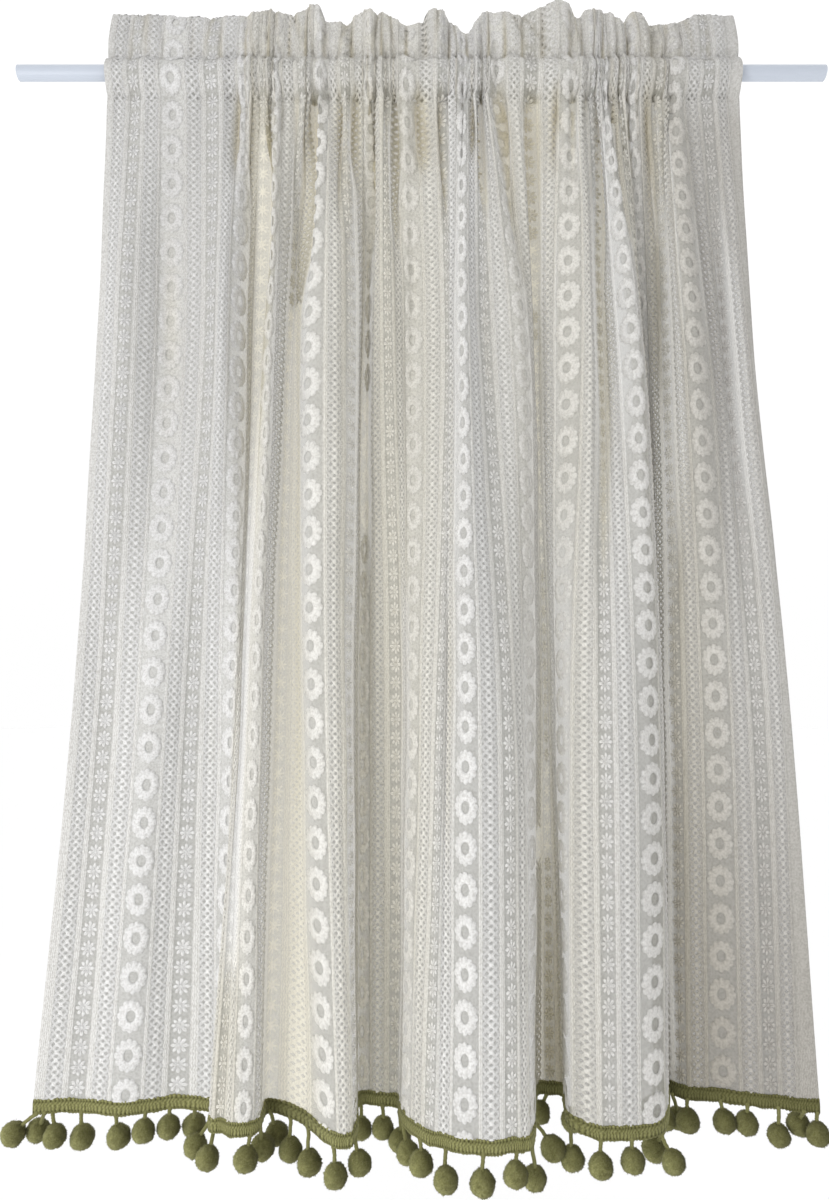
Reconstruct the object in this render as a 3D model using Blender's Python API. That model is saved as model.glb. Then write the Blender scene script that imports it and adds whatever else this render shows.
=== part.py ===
"""Cafe curtain of striped lace, gathered on a plain round rod, with a pompom trim along its hem.

Frame: the origin is the middle of the rod's left end, +X runs along the rod, +Z is up and the front
of the cloth faces -Y. Sizes in the tables are millimetres; everything built from them is metres.
"""

import math

import bmesh
import bpy
import numpy as np

MM = 0.001

# Rod
ROD_LENGTH = 723 * MM
ROD_RADIUS = 6.7 * MM
ROD_SIDES = 32
ROD_MIDDLE = ROD_LENGTH / 2

# Cloth
SHEET_THICKNESS = 1.6 * MM
FRILL_THICKNESS = 2.6 * MM
COLUMN_COUNT = 104
MITRE_LEAST = 0.55  # a sharp turn of the sheet is thickened no more than this allows

# Heights over the rod's axis at which the fold table gives a place for each line of the cloth
HEADING_SEAM, UPPER, LOWER, HEM = -22.0, -210.0, -560.0, -884.0

# The folds, as lines that run down the cloth. "flat" is how far along the cut panel the line lies.
# The next four columns say how far right of the rod's middle it hangs, at four heights, and the last
# three how far in front of the rod. Under the heading every line starts in the rod's own plane.
FOLD_COLUMNS = ("line", "flat", "heading", "upper", "lower", "hem", "out_upper", "out_lower", "out_hem")
FOLDS = (
    ("left edge", 0, -281, -284, -295, -317, 0, 0, 0),
    ("star 1", 36, -256, -257, -268, -283, 8, -4, -2),
    ("flower 1", 79, -223, -223, -227, -241, -10, 5, 4),
    ("star 2", 122, -187, -183, -195, -202, 8, -4, -8),
    ("fold 1 root", 143, -170, -171, -178, -176, 14, -4, -4),
    ("flower 2", 165, -158, -160, -159, -166, 0, 6, 9),
    ("fold 1 shoulder", 187, -149, -154, -154, -169, -22, 6, 26),
    ("tuck, star 3", 212, -139, -146, -151, -156, -26, -11, 26),
    ("tuck edge", 236, -132, -135, -144, -147, 2, 5, 34),
    ("flower 3", 251, -130, -131, -139, -139, 12, 15, 34),
    ("fold 1 right", 273, -120, -124, -131, -129, 2, 10, 27),
    ("star 4", 294, -106, -118, -124, -126, -24, -26, -2),
    ("fold 2 root", 316, -101, -110, -107, -97, -20, -18, 14),
    ("flower 4", 337, -90, -96, -91, -75, 16, 20, 41),
    ("fold 2 front", 359, -79, -75, -72, -60, 20, 26, 50),
    ("star 5", 380, -68, -61, -61, -53, 6, 13, 36),
    ("recess 2 left", 402, -54, -53, -57, -54, -22, -18, -4),
    ("flower 5", 423, -48, -48, -52, -50, -28, -26, -14),
    ("recess 2 right", 445, -39, -41, -39, -38, -10, -18, -12),
    ("star 6", 466, -32, -30, -22, -22, -6, -12, -10),
    ("flower 6", 509, -14, -9, -9, -10, -16, 14, 26),
    ("star 7", 552, 19, 24, 16, 13, 0, 30, 46),
    ("crease", 574, 28, 29, 23, 20, 6, 27, 43),
    ("flower 7", 595, 36, 34, 34, 31, 22, 43, 57),
    ("star 8", 638, 52, 54, 69, 67, 6, 32, 55),
    ("flower 8", 681, 66, 85, 90, 86, 6, 4, 36),
    ("star 9", 724, 97, 102, 110, 109, -24, -30, -30),
    ("flower 9", 767, 133, 126, 117, 120, 2, -10, -4),
    ("fold 4 left", 789, 144, 145, 134, 127, 12, 16, 32),
    ("star 10", 810, 153, 159, 150, 144, -14, 22, 39),
    ("fold 4 front", 832, 158, 167, 167, 161, -6, 25, 39),
    ("flower 10", 853, 163, 176, 190, 182, 18, 14, 33),
    ("star 11", 896, 177, 198, 210, 206, -20, -26, -20),
    ("flower 11", 932, 186, 200, 205, 201, -33, -46, -44),
    ("recess 4 back", 955, 195, 208, 211, 207, -29, -43, -41),
    ("star 12", 982, 212, 219, 221, 218, -16, -22, -24),
    ("flower 12", 1025, 224, 233, 253, 252, 12, -12, -18),
    ("lattice 13", 1047, 242, 259, 271, 272, -10, -8, -12),
    ("star 13", 1068, 255, 269, 287, 288, -14, -10, -8),
    ("lattice 14", 1090, 270, 279, 302, 303, 4, -2, -4),
    ("right edge", 1118, 284, 288, 311, 324, 0, 0, 0),
)
CUT_WIDTH = FOLDS[-1][1]

# Heading: the pocket round the rod and the frill over it
POCKET_TOP_SEAM = 13.0
FRILL_NARROWING = 0.984  # how much narrower the frill is at its edge than at its seam
FRILL_TOP = (  # how far right of the rod's middle, height of the frill's edge over the rod's axis
    (-280, 54), (-226, 54), (-180, 53), (-153, 58), (-113, 58), (-104, 65), (-91, 63), (-85, 48), (-70, 42),
    (-58, 56), (-46, 60), (-28, 50), (-14, 42), (2, 54), (14, 60), (25, 46), (39, 35), (50, 45), (59, 56),
    (86, 54), (104, 60), (122, 67), (134, 60), (141, 51), (148, 58), (161, 60), (178, 47), (186, 55),
    (194, 57), (208, 42), (220, 42), (234, 50), (252, 54), (282, 53),
)
POCKET = (  # height, half depth of the outer wall, height and half depth of the hollow that holds the rod
    (9.6, 5.2, 7.3, 3.2),
    (3.0, 9.4, 3.0, 7.7),
    (-5.0, 9.8, -5.0, 8.1),
    (-12.0, 7.4, -12.0, 5.6),
    (-18.5, 3.4, -17.6, 1.3),
)

# Small gathers that the pocket pushes into the cloth, fading out below it
GATHER_LENGTH = 41.0
GATHER_UNEVENNESS = 0.9
GATHER_CROWDING = 0.45
POCKET_GATHER = 2.6
SEAM_GATHER = 5.0
FRILL_RUFFLE = 4.6
GATHER_FADE = 75.0

# Rows of the frill as shares of its height, and of the hanging part as heights over the rod's axis
FRILL_ROWS = (1.0, 0.45, 0.0)
HANGING_ROWS = (-24, -38, -62, -100, -150, -210, -300, -420, -560, -680, -790, -884)

# Trim: a braided tape with short cords, each ending in a pompom
TAPE_HEIGHT = 10 * MM
TAPE_THICKNESS = 3.4 * MM
TRIM_GAP = 0.3 * MM
CORD_RADIUS = 1.4 * MM
CORD_ROOT = 1.5 * MM
CORD_AND_HALF_BALL = 18.5
POMPOM_WIDTH = 16.6 * MM
POMPOM_HEIGHT = 19.4 * MM
POMPOM_SIDES = 8
POMPOM_RINGS = (-48, -12, 24, 58)  # degrees below the ball's middle

# Each pompom's root along the cut hem, then how far its ball hangs right of the root, in front of it
# and lower than one at rest, in millimetres
POMPOMS = (
    (2, -17, 0, -3), (10, -9, -9, -1), (17, 5, 8, -5), (41, 1, 0, 0), (71, 3, 0, -3), (96, 0, 2, -6),
    (117, -1, 0, -5), (133, -2, -10, -1), (150, -13, 1, 6), (166, -5, 8, 6), (262, -3, 3, -3),
    (277, 1, -9, 0), (296, 5, -4, 0), (309, 1, 3, 4), (321, 2, 4, 6), (346, 2, 4, 0), (378, 4, 0, -2),
    (421, 0, 0, 0), (452, 0, -3, 0), (482, 0, -6, 6), (506, 3, 4, 0), (539, 0, 0, -2), (574, 0, 10, -2),
    (611, 0, 0, 1), (643, -1, 4, -5), (676, 2, -6, 9), (690, 13, 8, -2), (718, -6, 4, -6),
    (752, 6, -3, -2), (779, 2, -2, 6), (800, -1, 5, -3), (831, 1, 0, -4), (866, -6, -12, 4),
    (858, 7, 6, -1), (905, -1, 0, 0), (940, -3, -3, 0), (972, 6, -9, 5), (990, -2, 6, -5),
    (1023, 1, 3, -5), (1044, 0, -2, -4), (1075, 0, 0, 2), (1101, 0, -9, -5), (1115, -2, 5, -5),
)


def smooth(knots, values, at):
    """A curve through the values, with each knot's slope taken from its neighbours."""
    knots = np.asarray(knots, float)
    values = np.asarray(values, float)
    slopes = np.gradient(values, knots, axis=0)
    span = np.clip(np.searchsorted(knots, at, side="right") - 1, 0, len(knots) - 2)
    width = knots[span + 1] - knots[span]
    t = (at - knots[span]) / width
    start = (1 + 2 * t) * (1 - t) ** 2
    end = t * t * (3 - 2 * t)
    leave = t * (1 - t) ** 2 * width
    arrive = t * t * (t - 1) * width
    return start * values[span] + end * values[span + 1] + leave * slopes[span] + arrive * slopes[span + 1]


def fold_column(name):
    index = FOLD_COLUMNS.index(name)
    return [row[index] for row in FOLDS]


def place(flat, height):
    """Where a line of the cloth hangs at a height below the pocket: right of the middle, and out."""
    levels = (HEM, LOWER, UPPER, HEADING_SEAM)
    knots = fold_column("flat")
    across = [smooth(knots, fold_column(name), flat) for name in ("hem", "lower", "upper", "heading")]
    out = [smooth(knots, fold_column(name), flat) for name in ("out_hem", "out_lower", "out_upper")]
    out.append(np.zeros_like(flat))
    right = np.array([smooth(levels, [a[i] for a in across], height) for i in range(len(flat))])
    forward = np.array([smooth(levels, [o[i] for o in out], height) for i in range(len(flat))])
    fade = math.exp((height - HEADING_SEAM) / GATHER_FADE)
    return right, forward + SEAM_GATHER * fade * gather(flat)


def gather(flat):
    """The small pleats' wave along the cloth, from -1 to 1, uneven in length and lower where crowded."""
    turn = 2 * math.pi * flat / GATHER_LENGTH
    wave = np.sin(turn + GATHER_UNEVENNESS * np.sin(0.37 * turn) + 0.6 * np.sin(0.83 * turn + 1))
    spread = np.gradient(smooth(fold_column("flat"), fold_column("heading"), flat), flat)
    return wave * np.clip(spread / GATHER_CROWDING, 0.3, 1)


def sheet_normals(right, forward):
    """Vectors across a row of the cloth, pointing to the front, longer where the row turns sharply."""
    steps = np.diff(np.stack([right, forward], 1), axis=0)
    steps /= np.linalg.norm(steps, axis=1, keepdims=True)
    before = np.vstack([steps[:1], steps])
    after = np.vstack([steps, steps[-1:]])
    along = before + after
    along /= np.linalg.norm(along, axis=1, keepdims=True)
    mitre = np.clip((along * before).sum(1, keepdims=True), MITRE_LEAST, 1)
    return np.stack([-along[:, 1], along[:, 0]], 1) / mitre


def row_points(right, forward, height):
    """Points of one row in metres; height is a number or one for each column."""
    right, forward, height = np.broadcast_arrays(np.atleast_1d(right), forward, height)
    return np.stack([right * MM + ROD_MIDDLE, -forward * MM, height * MM], 1)


def layer(right, forward, height, thickness):
    """The front and the back row of a sheet whose middle runs through these points."""
    across = sheet_normals(right, forward) * thickness / 2 / MM
    front = row_points(right + across[:, 0], forward + across[:, 1], height)
    back = row_points(right - across[:, 0], forward - across[:, 1], height)
    return front, back


def frill_rows(flat, right):
    """Rows from the frill's top edge down to the seam over the rod, ruffled more towards the top."""
    rows = []
    for share in FRILL_ROWS:
        across = right * (1 - share * (1 - FRILL_NARROWING))
        top = np.interp(across, [x for x, _ in FRILL_TOP], [z for _, z in FRILL_TOP])
        height = POCKET_TOP_SEAM + share * (top - POCKET_TOP_SEAM)
        forward = FRILL_RUFFLE * (0.25 + 0.75 * share) * gather(flat)
        rows.append(layer(across, forward, height, FRILL_THICKNESS))
    return rows


def pocket_rows(flat, right):
    """For each height of the pocket: outer front, outer back, inner front, inner back."""
    bulge = POCKET_GATHER * (1 + gather(flat)) / 2
    deepest = max(row[1] for row in POCKET)
    rows = []
    for outer_height, outer, inner_height, inner in POCKET:
        swell = bulge * outer / deepest
        rows.append((
            row_points(right, outer + swell, outer_height),
            row_points(right, -outer - swell, outer_height),
            row_points(right, inner, inner_height),
            row_points(right, -inner, inner_height),
        ))
    return rows


def hanging_rows(flat):
    return [layer(*place(flat, height), height, SHEET_THICKNESS) for height in HANGING_ROWS]


def add_row(mesh, points):
    return [mesh.verts.new(point) for point in points]


def bridge(mesh, upper, lower):
    """Quads between two rows, wound so that upper-left to lower-left faces the front."""
    for i in range(len(upper) - 1):
        mesh.faces.new((upper[i], lower[i], lower[i + 1], upper[i + 1]))


def cap_end(mesh, fronts, backs, hollow, column):
    """Closes the sheet's side edge round the mouth of the rod pocket."""
    first, last = hollow["first"], hollow["last"]
    inner_front = [row[column] for row in hollow["front"]]
    inner_back = [row[column] for row in hollow["back"]]
    front = [row[column] for row in fronts]
    back = [row[column] for row in backs]
    for j in range(len(front) - 1):
        if first <= j < last:
            k = j - first
            mesh.faces.new((front[j], front[j + 1], inner_front[k + 1], inner_front[k]))
            mesh.faces.new((inner_back[k], inner_back[k + 1], back[j + 1], back[j]))
        elif j == first - 1:
            mesh.faces.new((front[j], front[j + 1], inner_front[0], inner_back[0], back[j + 1], back[j]))
        elif j == last:
            mesh.faces.new((front[j], front[j + 1], back[j + 1], back[j], inner_back[-1], inner_front[-1]))
        else:
            mesh.faces.new((front[j], front[j + 1], back[j + 1], back[j]))


def column_places():
    return np.linspace(0, CUT_WIDTH, COLUMN_COUNT + 1)


def build_panel():
    """The lace panel: frill, rod pocket and hanging folds in one closed sheet."""
    flat = column_places()
    right = smooth(fold_column("flat"), fold_column("heading"), flat)
    mesh = bmesh.new()
    frill = frill_rows(flat, right)
    pocket = pocket_rows(flat, right)
    hanging = hanging_rows(flat)
    fronts = [add_row(mesh, row[0]) for row in frill + pocket + hanging]
    backs = [add_row(mesh, row[1]) for row in frill + pocket + hanging]
    hollow = {
        "first": len(frill),
        "last": len(frill) + len(pocket) - 1,
        "front": [add_row(mesh, row[2]) for row in pocket],
        "back": [add_row(mesh, row[3]) for row in pocket],
    }
    for upper, lower in zip(fronts, fronts[1:]):
        bridge(mesh, upper, lower)
    for upper, lower in zip(backs, backs[1:]):
        bridge(mesh, lower, upper)
    for upper, lower in zip(hollow["front"], hollow["front"][1:]):
        bridge(mesh, lower, upper)
    for upper, lower in zip(hollow["back"], hollow["back"][1:]):
        bridge(mesh, upper, lower)
    bridge(mesh, backs[0], fronts[0])
    bridge(mesh, fronts[-1], backs[-1])
    bridge(mesh, hollow["front"][0], hollow["back"][0])
    bridge(mesh, hollow["back"][-1], hollow["front"][-1])
    cap_end(mesh, fronts, backs, hollow, 0)
    cap_end(mesh, fronts, backs, hollow, -1)
    return finish_object("curtain_panel", mesh, lace_material())


def build_tape(mesh):
    """The tape as a closed strip that follows the hem, parted from it by a thin gap."""
    right, forward = place(column_places(), HEM)
    top = HEM - TRIM_GAP / MM
    upper = layer(right, forward, top, TAPE_THICKNESS)
    lower = layer(right, forward, top - TAPE_HEIGHT / MM, TAPE_THICKNESS)
    front_top, back_top, front_low, back_low = [add_row(mesh, side) for side in upper + lower]
    bridge(mesh, front_top, front_low)
    bridge(mesh, back_low, back_top)
    bridge(mesh, back_top, front_top)
    bridge(mesh, front_low, back_low)
    mesh.faces.new((front_top[0], back_top[0], back_low[0], front_low[0]))
    mesh.faces.new((front_top[-1], front_low[-1], back_low[-1], back_top[-1]))


def pompom_roots():
    """Where each cord leaves the tape's bottom edge, as points in metres."""
    flat = column_places()
    right, forward = place(flat, HEM)
    height = HEM - (TRIM_GAP + TAPE_HEIGHT) / MM
    for row in POMPOMS:
        yield row_points(np.interp(row[0], flat, right), np.interp(row[0], flat, forward), height)[0]


def pompom_profile(cord_length):
    """Radius and distance below the tape's edge, from the cord's root down to the ball's lowest ring."""
    profile = [(CORD_RADIUS, -CORD_ROOT), (CORD_RADIUS, cord_length)]
    middle = cord_length + POMPOM_HEIGHT / 2
    for turn in POMPOM_RINGS:
        angle = math.radians(turn)
        profile.append((POMPOM_WIDTH / 2 * math.cos(angle), middle + POMPOM_HEIGHT / 2 * math.sin(angle)))
    return profile


def add_pompom(mesh, root, right, out, drop):
    """A cord and its ball, whose middle hangs at these distances from the root."""
    hang = np.array([right, -out, -(CORD_AND_HALF_BALL + drop)]) * MM
    reach = np.linalg.norm(hang)
    down = hang / reach
    side = np.cross(down, [0, 1, 0])
    side /= np.linalg.norm(side)
    ahead = np.cross(side, down)
    rings = []
    for radius, below in pompom_profile(reach - POMPOM_HEIGHT / 2):
        turns = 2 * math.pi * np.arange(POMPOM_SIDES) / POMPOM_SIDES
        spokes = np.outer(np.cos(turns), side) + np.outer(np.sin(turns), ahead)
        rings.append(add_row(mesh, root + down * below + radius * spokes))
    for upper, lower in zip(rings, rings[1:]):
        for i in range(POMPOM_SIDES):
            after = (i + 1) % POMPOM_SIDES
            mesh.faces.new((upper[i], lower[i], lower[after], upper[after]))
    mesh.faces.new(rings[0][::-1])
    tip = mesh.verts.new(root + down * (reach + POMPOM_HEIGHT / 2))
    for i in range(POMPOM_SIDES):
        mesh.faces.new((rings[-1][i], tip, rings[-1][(i + 1) % POMPOM_SIDES]))


def build_trim():
    tape = bmesh.new()
    build_tape(tape)
    trim = finish_object("pompom_trim", tape, material("olive_yarn", (0.19, 0.19, 0.06), 0.9))
    balls = bmesh.new()
    for root, (_, right, out, drop) in zip(pompom_roots(), POMPOMS):
        add_pompom(balls, root, right, out, drop)
    shapes = finish_object("pompom_shapes", balls, trim.data.materials[0])
    shapes.hide_render = True
    shapes.display_type = "WIRE"
    joined = trim.modifiers.new("pompoms", "BOOLEAN")
    joined.operation = "UNION"
    joined.object = shapes
    return trim


def finish_object(name, mesh, surface):
    bmesh.ops.recalc_face_normals(mesh, faces=mesh.faces)
    data = bpy.data.meshes.new(name)
    mesh.to_mesh(data)
    mesh.free()
    data.materials.append(surface)
    data.shade_smooth()
    data.set_sharp_from_angle(angle=math.radians(50))
    thing = bpy.data.objects.new(name, data)
    bpy.context.scene.collection.objects.link(thing)
    return thing


def material(name, colour, roughness):
    made = bpy.data.materials.new(name)
    made.use_nodes = True
    shader = made.node_tree.nodes["Principled BSDF"]
    shader.inputs["Base Color"].default_value = (*colour, 1)
    shader.inputs["Roughness"].default_value = roughness
    return made


def lace_material():
    return material("cream_lace", (0.78, 0.76, 0.68), 0.85)


def clear_scene():
    for thing in list(bpy.data.objects):
        bpy.data.objects.remove(thing, do_unlink=True)


def build_rod():
    mesh = bmesh.new()
    bmesh.ops.create_cone(
        mesh, cap_ends=True, segments=ROD_SIDES, radius1=ROD_RADIUS, radius2=ROD_RADIUS, depth=ROD_LENGTH
    )
    rod = finish_object("rod", mesh, material("rod_paint", (0.62, 0.66, 0.74), 0.4))
    rod.rotation_euler = (0, math.pi / 2, 0)
    rod.location = (ROD_MIDDLE, 0, 0)
    return rod


clear_scene()
build_rod()
build_panel()
build_trim()
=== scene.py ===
"""Looks of the cafe curtain: striped lace with raised flowers, stars and lattice bands, gathered on its
rod, and a braided trim with yarn pompoms.

Sizes are millimetres in the part's own frame: the origin is the middle of the rod's left end, +X runs
along the rod, +Z is up and the front of the cloth faces -Y. A point of the cloth is named by "flat", how
far along the cut panel it lies, and "run", how far up the panel it lies from the hem: up the front, over
the frill's edge and down the back to the seam under the rod.
"""

import math

import bpy
import numpy as np
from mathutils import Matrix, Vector


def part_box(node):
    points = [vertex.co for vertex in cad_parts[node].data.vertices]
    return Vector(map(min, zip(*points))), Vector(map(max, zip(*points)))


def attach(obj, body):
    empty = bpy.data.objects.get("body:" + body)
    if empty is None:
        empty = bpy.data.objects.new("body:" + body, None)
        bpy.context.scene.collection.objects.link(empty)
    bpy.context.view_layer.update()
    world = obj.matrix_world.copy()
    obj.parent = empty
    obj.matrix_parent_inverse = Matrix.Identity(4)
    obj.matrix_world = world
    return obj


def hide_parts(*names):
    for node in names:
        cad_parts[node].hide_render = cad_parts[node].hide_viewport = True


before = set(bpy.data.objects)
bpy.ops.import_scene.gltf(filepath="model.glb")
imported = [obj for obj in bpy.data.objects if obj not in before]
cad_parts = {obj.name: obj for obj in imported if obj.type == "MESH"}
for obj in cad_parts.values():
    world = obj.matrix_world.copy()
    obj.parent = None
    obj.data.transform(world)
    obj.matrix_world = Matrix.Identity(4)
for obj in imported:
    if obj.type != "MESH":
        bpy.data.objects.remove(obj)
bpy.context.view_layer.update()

MM = 0.001
SEED = 20

# The rod, read from the frame
ROD_LOW, ROD_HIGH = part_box("rod")
ROD_MIDDLE = (ROD_LOW.x + ROD_HIGH.x) / 2 / MM
ROD_RADIUS = (ROD_HIGH.z - ROD_LOW.z) / 2 / MM

# Camera: where the photograph was taken from, in metres, and its tilt from straight down in degrees
CAMERA_PLACE = (0.3552, -0.715, -0.5309)
CAMERA_TILT = 94.5
CAMERA_LENS = 25.2
CAMERA_SENSOR = 36

# The studio in front of the cloth: how bright it is beside the cloth, how much more so straight in front,
# how much less so to the right; and how much brighter the studio is overhead
STUDIO_SIDES = 0.43
STUDIO_STRIP = 1.12
STUDIO_RIGHT = 0.38
STUDIO_ABOVE = 0.28

# A soft key light at the lower left, in metres and watts, and the floor
KEY_PLACE, KEY_TARGET = (-0.55, -1.0, -0.7), (0.36, 0, -0.42)
KEY_POWER, KEY_SIZE, KEY_COLOUR = 5.8, 0.6, (0.99, 0.99, 1)
FLOOR_REACH, FLOOR_HEIGHT, FLOOR_SIDES = 14000, -1500, 48

# ---- The cloth's folds: the part's own, some of them and the frill's edge finer or moved a little ----

HEADING_SEAM, UPPER, LOWER, HEM = -22.0, -210.0, -560.0, -884.0
FOLD_COLUMNS = ("line", "flat", "heading", "upper", "lower", "hem", "out_upper", "out_lower", "out_hem")
FOLDS = (
    ("left edge", 0, -281, -284, -295, -317, 0, 0, 0),
    ("star 1", 36, -256, -257, -268, -283, 8, -4, -2),
    ("flower 1", 79, -223, -223, -227, -241, -10, 5, 4),
    ("star 2", 122, -187, -183, -195, -202, 8, -4, -8),
    ("fold 1 root", 143, -170, -171, -178, -176, 14, -4, -4),
    ("flower 2", 165, -158, -160, -159, -166, 0, 6, 9),
    ("fold 1 shoulder", 187, -149, -154, -154, -168, -18, 8, 24),
    ("tuck, star 3", 212, -139, -146, -151, -156, -15, 5, 28),
    ("tuck edge", 236, -132, -135, -145, -148, 2, 11, 34),
    ("flower 3", 251, -130, -131, -139, -139, 12, 15, 34),
    ("fold 1 right", 273, -120, -124, -131, -129, 2, 10, 27),
    ("star 4", 294, -106, -118, -124, -126, -24, -26, -2),
    ("fold 2 root", 316, -101, -110, -107, -97, -20, -18, 14),
    ("flower 4", 337, -90, -96, -91, -75, 16, 20, 41),
    ("fold 2 front", 359, -79, -75, -72, -60, 20, 26, 50),
    ("star 5", 380, -68, -61, -61, -53, 6, 13, 36),
    ("recess 2 left", 402, -54, -53, -57, -54, -22, -18, -4),
    ("flower 5", 423, -48, -48, -52, -50, -28, -26, -14),
    ("recess 2 right", 445, -39, -41, -39, -38, -10, -18, -12),
    ("star 6", 466, -32, -30, -22, -22, -6, -12, -10),
    ("flower 6", 509, -14, -9, -9, -14, -16, 14, 19),
    ("star 7", 552, 19, 24, 15, 5, 0, 30, 45),
    ("crease", 574, 28, 28, 22, 17, 6, 28, 50),
    ("flower 7", 595, 36, 34, 34, 31, 22, 43, 57),
    ("star 8", 638, 52, 54, 69, 67, 6, 32, 55),
    ("flower 8", 681, 66, 85, 90, 86, 6, 4, 36),
    ("recess 3 left", 704, 82, 96, 101, 98, -12, -22, -27),
    ("star 9", 724, 97, 102, 109, 109, -24, -29, -30),
    ("recess 3 right", 742, 113, 112, 114, 120, -14, -24, -27),
    ("flower 9", 767, 133, 128, 119, 118, 2, -8, -2),
    ("fold 4 edge", 780, 140, 139, 124, 117, 8, 8, 21),
    ("fold 4 left", 790, 144, 145, 134, 128, 12, 18, 34),
    ("star 10", 810, 153, 159, 150, 144, -14, 22, 39),
    ("fold 4 front", 832, 158, 167, 167, 161, -6, 25, 39),
    ("flower 10", 853, 163, 176, 190, 182, 18, 14, 33),
    ("star 11", 896, 177, 198, 210, 206, -20, -26, -20),
    ("flower 11", 932, 186, 200, 205, 201, -33, -46, -44),
    ("recess 4 back", 955, 195, 208, 211, 207, -29, -43, -41),
    ("star 12", 982, 212, 219, 221, 218, -16, -22, -24),
    ("flower 12", 1025, 224, 233, 253, 252, 12, -12, -18),
    ("lattice 13", 1047, 242, 259, 271, 272, -10, -8, -12),
    ("star 13", 1068, 255, 269, 287, 288, -14, -10, -8),
    ("lattice 14", 1090, 270, 279, 302, 303, 4, -2, -4),
    ("right edge", 1118, 284, 288, 311, 324, 0, 0, 0),
)
CUT_WIDTH = FOLDS[-1][1]
POCKET_TOP_SEAM = 13.0
FRILL_NARROWING = 0.984
FRILL_TOP = (  # how far right of the rod's middle, height of the frill's edge over the rod's axis
    (-280, 55), (-228, 55), (-216, 53), (-202, 54), (-186, 52), (-164, 54), (-148, 56), (-137, 59),
    (-118, 57), (-105, 60), (-100, 65), (-93, 65), (-86, 47), (-75, 48), (-66, 45), (-59, 56), (-49, 60),
    (-38, 56), (-30, 55), (-14, 45), (1, 49), (7, 61), (19, 60), (26, 48), (40, 37), (57, 57), (76, 58),
    (88, 55), (110, 63), (121, 67), (131, 65), (141, 52), (148, 61), (157, 61), (166, 56), (181, 48),
    (190, 59), (207, 46), (226, 46), (246, 55), (282, 54),
)
FRILL_GATHERS = (  # right of the rod's middle; the frill puffs out between these
    -290, -262, -232, -206, -180, -158, -137, -119, -104, -87, -63, -36, -14, 3, 25, 41, 60, 75, 90, 109,
    134, 144, 163, 185, 206, 232, 258, 290,
)
LOBE_SHARE = 0.66  # how far a lobe stands out, as a share of half its width
FRILL_CREASES = (  # right of the rod's middle at the seam and at the frill's edge, half width, depth
    (-246, -250, 3.0, -2.0), (-196, -190, 2.0, -2.0), (-151, -157, 3.0, -3.0), (-128, -131, 2.0, -2.0),
    (-104, -116, 1.8, -3.2), (-98, -102, 1.8, -2.6), (-74, -68, 2.0, -2.2), (-45, -39, 1.6, -3.2),
    (-24, -29, 1.6, -2.4), (12, 15, 1.5, -2.8), (33, 29, 1.6, -2.6), (98, 81, 1.6, -3.4),
    (116, 90, 1.6, -3.8), (144, 138, 2.0, -3.6), (154, 157, 1.6, -2.4), (196, 191, 2.0, -2.6),
    (217, 222, 2.0, -1.8), (244, 240, 2.4, -1.6),
)
TOP_SEAM_WAVE = 2.4  # how far the seam under the frill wanders up and down
GATHER_LENGTH = 41.0
SEAM_GATHER = 5.0
FRILL_RUFFLE = 4.6
GATHER_FADE = 75.0  # how far down the cloth the gathers reach

# ---- The cloth's finer form ----

# Where the seams and edges lie along the run
POCKET_RUN = 41.0
FRILL_RUN = 45.0
RUN_SEAM = HEADING_SEAM - HEM
RUN_TOP_SEAM = RUN_SEAM + POCKET_RUN
RUN_EDGE = RUN_TOP_SEAM + FRILL_RUN
RUN_BACK_SEAM = RUN_EDGE + FRILL_RUN
RUN_END = RUN_BACK_SEAM + POCKET_RUN + 4
CUT_LENGTH = RUN_END

# Half the distance between the front and the back of the pocket, and of the frill
POCKET_DEPTH = (
    (-26, 1.0), (-22, 1.2), (-18, 2.8), (-12, 5.6), (-6, 7.6), (0, 8.2), (5, 7.4), (9.5, 4.6), (13, 1.2),
)
FRILL_DEPTH = ((0, 1.2), (0.25, 2.6), (0.6, 2.8), (0.86, 2.4), (0.95, 1.7), (0.985, 0.9), (1, 0))
ROD_CLEARANCE = 0.8
POCKET_SWELL = 5.0

# Pleats pushed up by the pocket: narrow and uneven, rounder in front than behind
PLEAT_LENGTH = 19.5
PLEAT_DEPTH = 2.6
CRINKLE = 1.5
PUCKER_LENGTH = 38.0  # of two puckers
PUCKER_DEPTH = 1.5
PUCKER_REACH = 7.0  # how far from a seam they fade
WRINKLES_FULL = 60.0  # how far under the pocket the wrinkles are full
PLEAT_STRENGTH = (  # run, share of the depth
    (0, 0), (620, 0), (700, 0.06), (760, 0.16), (800, 0.34), (830, 0.72), (850, 1.05), (857, 0.9),
    (862, 0.9), (868, 1.1), (882, 1.05), (896, 1.15), (903, 1.1), (910, 0.8), (930, 0.5), (948, 0.42),
    (966, 0.5), (986, 0.7), (993, 0.8), (1014, 0.6), (1034, 0.6), (1038, 0.6),
)
CALM_LEFT, CALM_RIGHT = (95, 165), (1010, 1085)  # between these the cloth's flat ends turn into gathers
CALM = 0.4  # how much of the gathers is left there
LEAST_CROWDED = 0.12
FRILL_MIDDLE, FRILL_HUMP = 54.0, 11.0  # the frill's usual height, and how far its humps rise over it

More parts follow.
